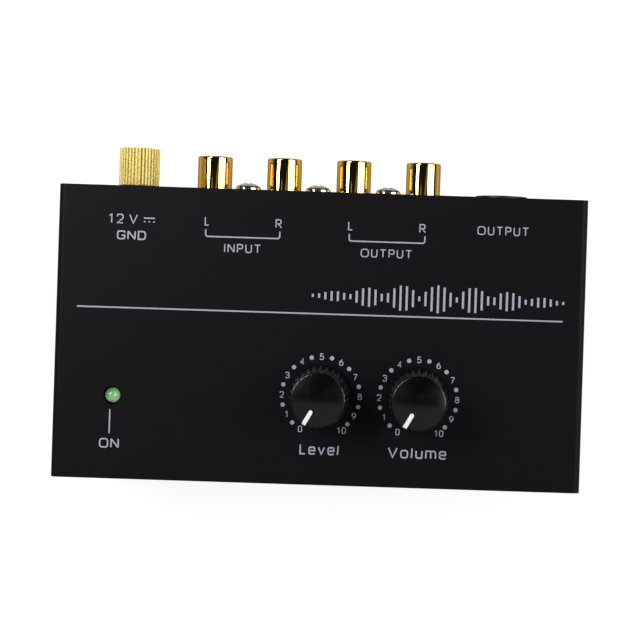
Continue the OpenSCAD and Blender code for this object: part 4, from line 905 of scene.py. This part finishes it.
# %% Numbers round the dials
RING = 8.98  # radius on which the numbers and the dots between them sit
NARROW, USUAL, TEN_WIDE, TEN_AT = 0.55, 0.98, 2.1, (5.02, -7.83)  # widths, and the 10's own place
for x, y in DIALS.values():
    for number in range(11):
        turn = math.radians(-150 + 30 * number)
        at, wide = (RING * math.sin(turn), RING * math.cos(turn)), NARROW if number == 1 else USUAL
        if number == 10:
            at, wide = TEN_AT, TEN_WIDE
        words(str(number), DIGITS, x + at[0], y + at[1], wide, 1.5, 0.21, gap=0.46)
bmesh.ops.recalc_face_normals(print_work, faces=print_work.faces)
piece("cover_print", to_mesh(print_work, "cover_print"), screen_ink, "white_plastic", "case")
print("strokes", strokes_drawn)

# %% [markdown]
# ## Dots and the printed wave
# Between the numbers sit round dots on the same ring, and above the long rule a row of upright bars swells
# and fades like a sound wave. Both follow a rule in the number of the dot or bar, so trees draw them.

# %% Tree: dots on part of a ring
FILM, FILM_Z = 0.025, 38.0075  # thickness of a dot or bar, and the height of its middle
dot_sizes = {
    "Dots": "Int", "Ring_radius": "Float", "Dot_radius": "Float", "Step": "Float", "Centre": "Vector",
}
ring_dots, given = geometry_tree("ring_dots", **dot_sizes, Finish="Material")
line = add(ring_dots, "GeometryNodeMeshLine", {"Count": given["Dots"]})
middle = maths(ring_dots, "DIVIDE", maths(ring_dots, "SUBTRACT", given["Dots"], 1.0), 2.0)
number = add(ring_dots, "GeometryNodeInputIndex").outputs[0]
turn = maths(ring_dots, "MULTIPLY", maths(ring_dots, "SUBTRACT", number, middle), given["Step"])
sine, cosine = maths(ring_dots, "SINE", turn), maths(ring_dots, "COSINE", turn)
outward = add(ring_dots, "ShaderNodeCombineXYZ", {0: sine, 1: cosine})
reach = {0: outward.outputs[0], "Scale": given["Ring radius"]}
spoke = add(ring_dots, "ShaderNodeVectorMath", reach, operation="SCALE")
at_ring = add(ring_dots, "ShaderNodeVectorMath", {0: spoke.outputs[0], 1: given["Centre"]}, operation="ADD")
on_ring = {"Geometry": line.outputs[0], "Position": at_ring.outputs[0]}
ring = add(ring_dots, "GeometryNodeSetPosition", on_ring)
disc = {"Vertices": 24, "Radius": given["Dot radius"], "Depth": FILM * MM}
dot = add(ring_dots, "GeometryNodeMeshCylinder", disc)
dots = add(ring_dots, "GeometryNodeInstanceOnPoints", {"Points": ring.outputs[0], "Instance": dot.outputs[0]})
end_tree(ring_dots, dots.outputs[0], given)

for name, (x, y) in DIALS.items():
    sizes = {
        "Dots": 10, "Ring radius": RING * MM, "Dot radius": 0.5 * MM, "Step": math.radians(30),
        "Centre": (x * MM, y * MM, FILM_Z * MM), "Finish": screen_ink,
    }
    dotted = baked(bpy.data.meshes.new("dots"), "NODES", node_group=ring_dots, sizes=sizes)
    piece(f"{name}_dots", dotted, screen_ink, "white_plastic", "case")

# %% Tree: bars that swell and fade
bar_sizes = dict.fromkeys(("Pitch", "Bar_width", "Tallest", "Shortest", "Beat"), "Float")
wave_bars, given = geometry_tree("wave_bars", Bars="Int", **bar_sizes, Start="Vector", Finish="Material")
step_on = add(wave_bars, "ShaderNodeCombineXYZ", {0: given["Pitch"]})
track = {"Count": given["Bars"], "Start Location": given["Start"], "Offset": step_on.outputs[0]}
line = add(wave_bars, "GeometryNodeMeshLine", track)
number = add(wave_bars, "GeometryNodeInputIndex").outputs[0]
along = maths(wave_bars, "DIVIDE", maths(wave_bars, "ADD", number, 0.5), given["Bars"])
swell = maths(wave_bars, "SINE", maths(wave_bars, "MULTIPLY", along, math.pi))
beat = maths(wave_bars, "SINE", maths(wave_bars, "MULTIPLY", number, given["Beat"]))
both_ways = maths(wave_bars, "MULTIPLY", swell, maths(wave_bars, "ABSOLUTE", beat))
height = ranged(wave_bars, both_ways, low=given["Shortest"], high=given["Tallest"])
size = add(wave_bars, "ShaderNodeCombineXYZ", {0: given["Bar width"], 1: height, 2: FILM * MM})
bar = add(wave_bars, "GeometryNodeMeshCube", {"Size": (1, 1, 1)})
each = {"Points": line.outputs[0], "Instance": bar.outputs[0], "Scale": size.outputs[0]}
bars = add(wave_bars, "GeometryNodeInstanceOnPoints", each)
end_tree(wave_bars, bars.outputs[0], given)

sizes = {
    "Bars": 41, "Pitch": 1.44 * MM, "Bar width": 0.5 * MM, "Tallest": 6.4 * MM, "Shortest": 0.7 * MM,
    "Beat": 0.55, "Start": (-1.8 * MM, 5.2 * MM, FILM_Z * MM), "Finish": screen_ink,
}
wave = baked(bpy.data.meshes.new("wave"), "NODES", node_group=wave_bars, sizes=sizes)
piece("printed_wave", wave, screen_ink, "white_plastic", "case")
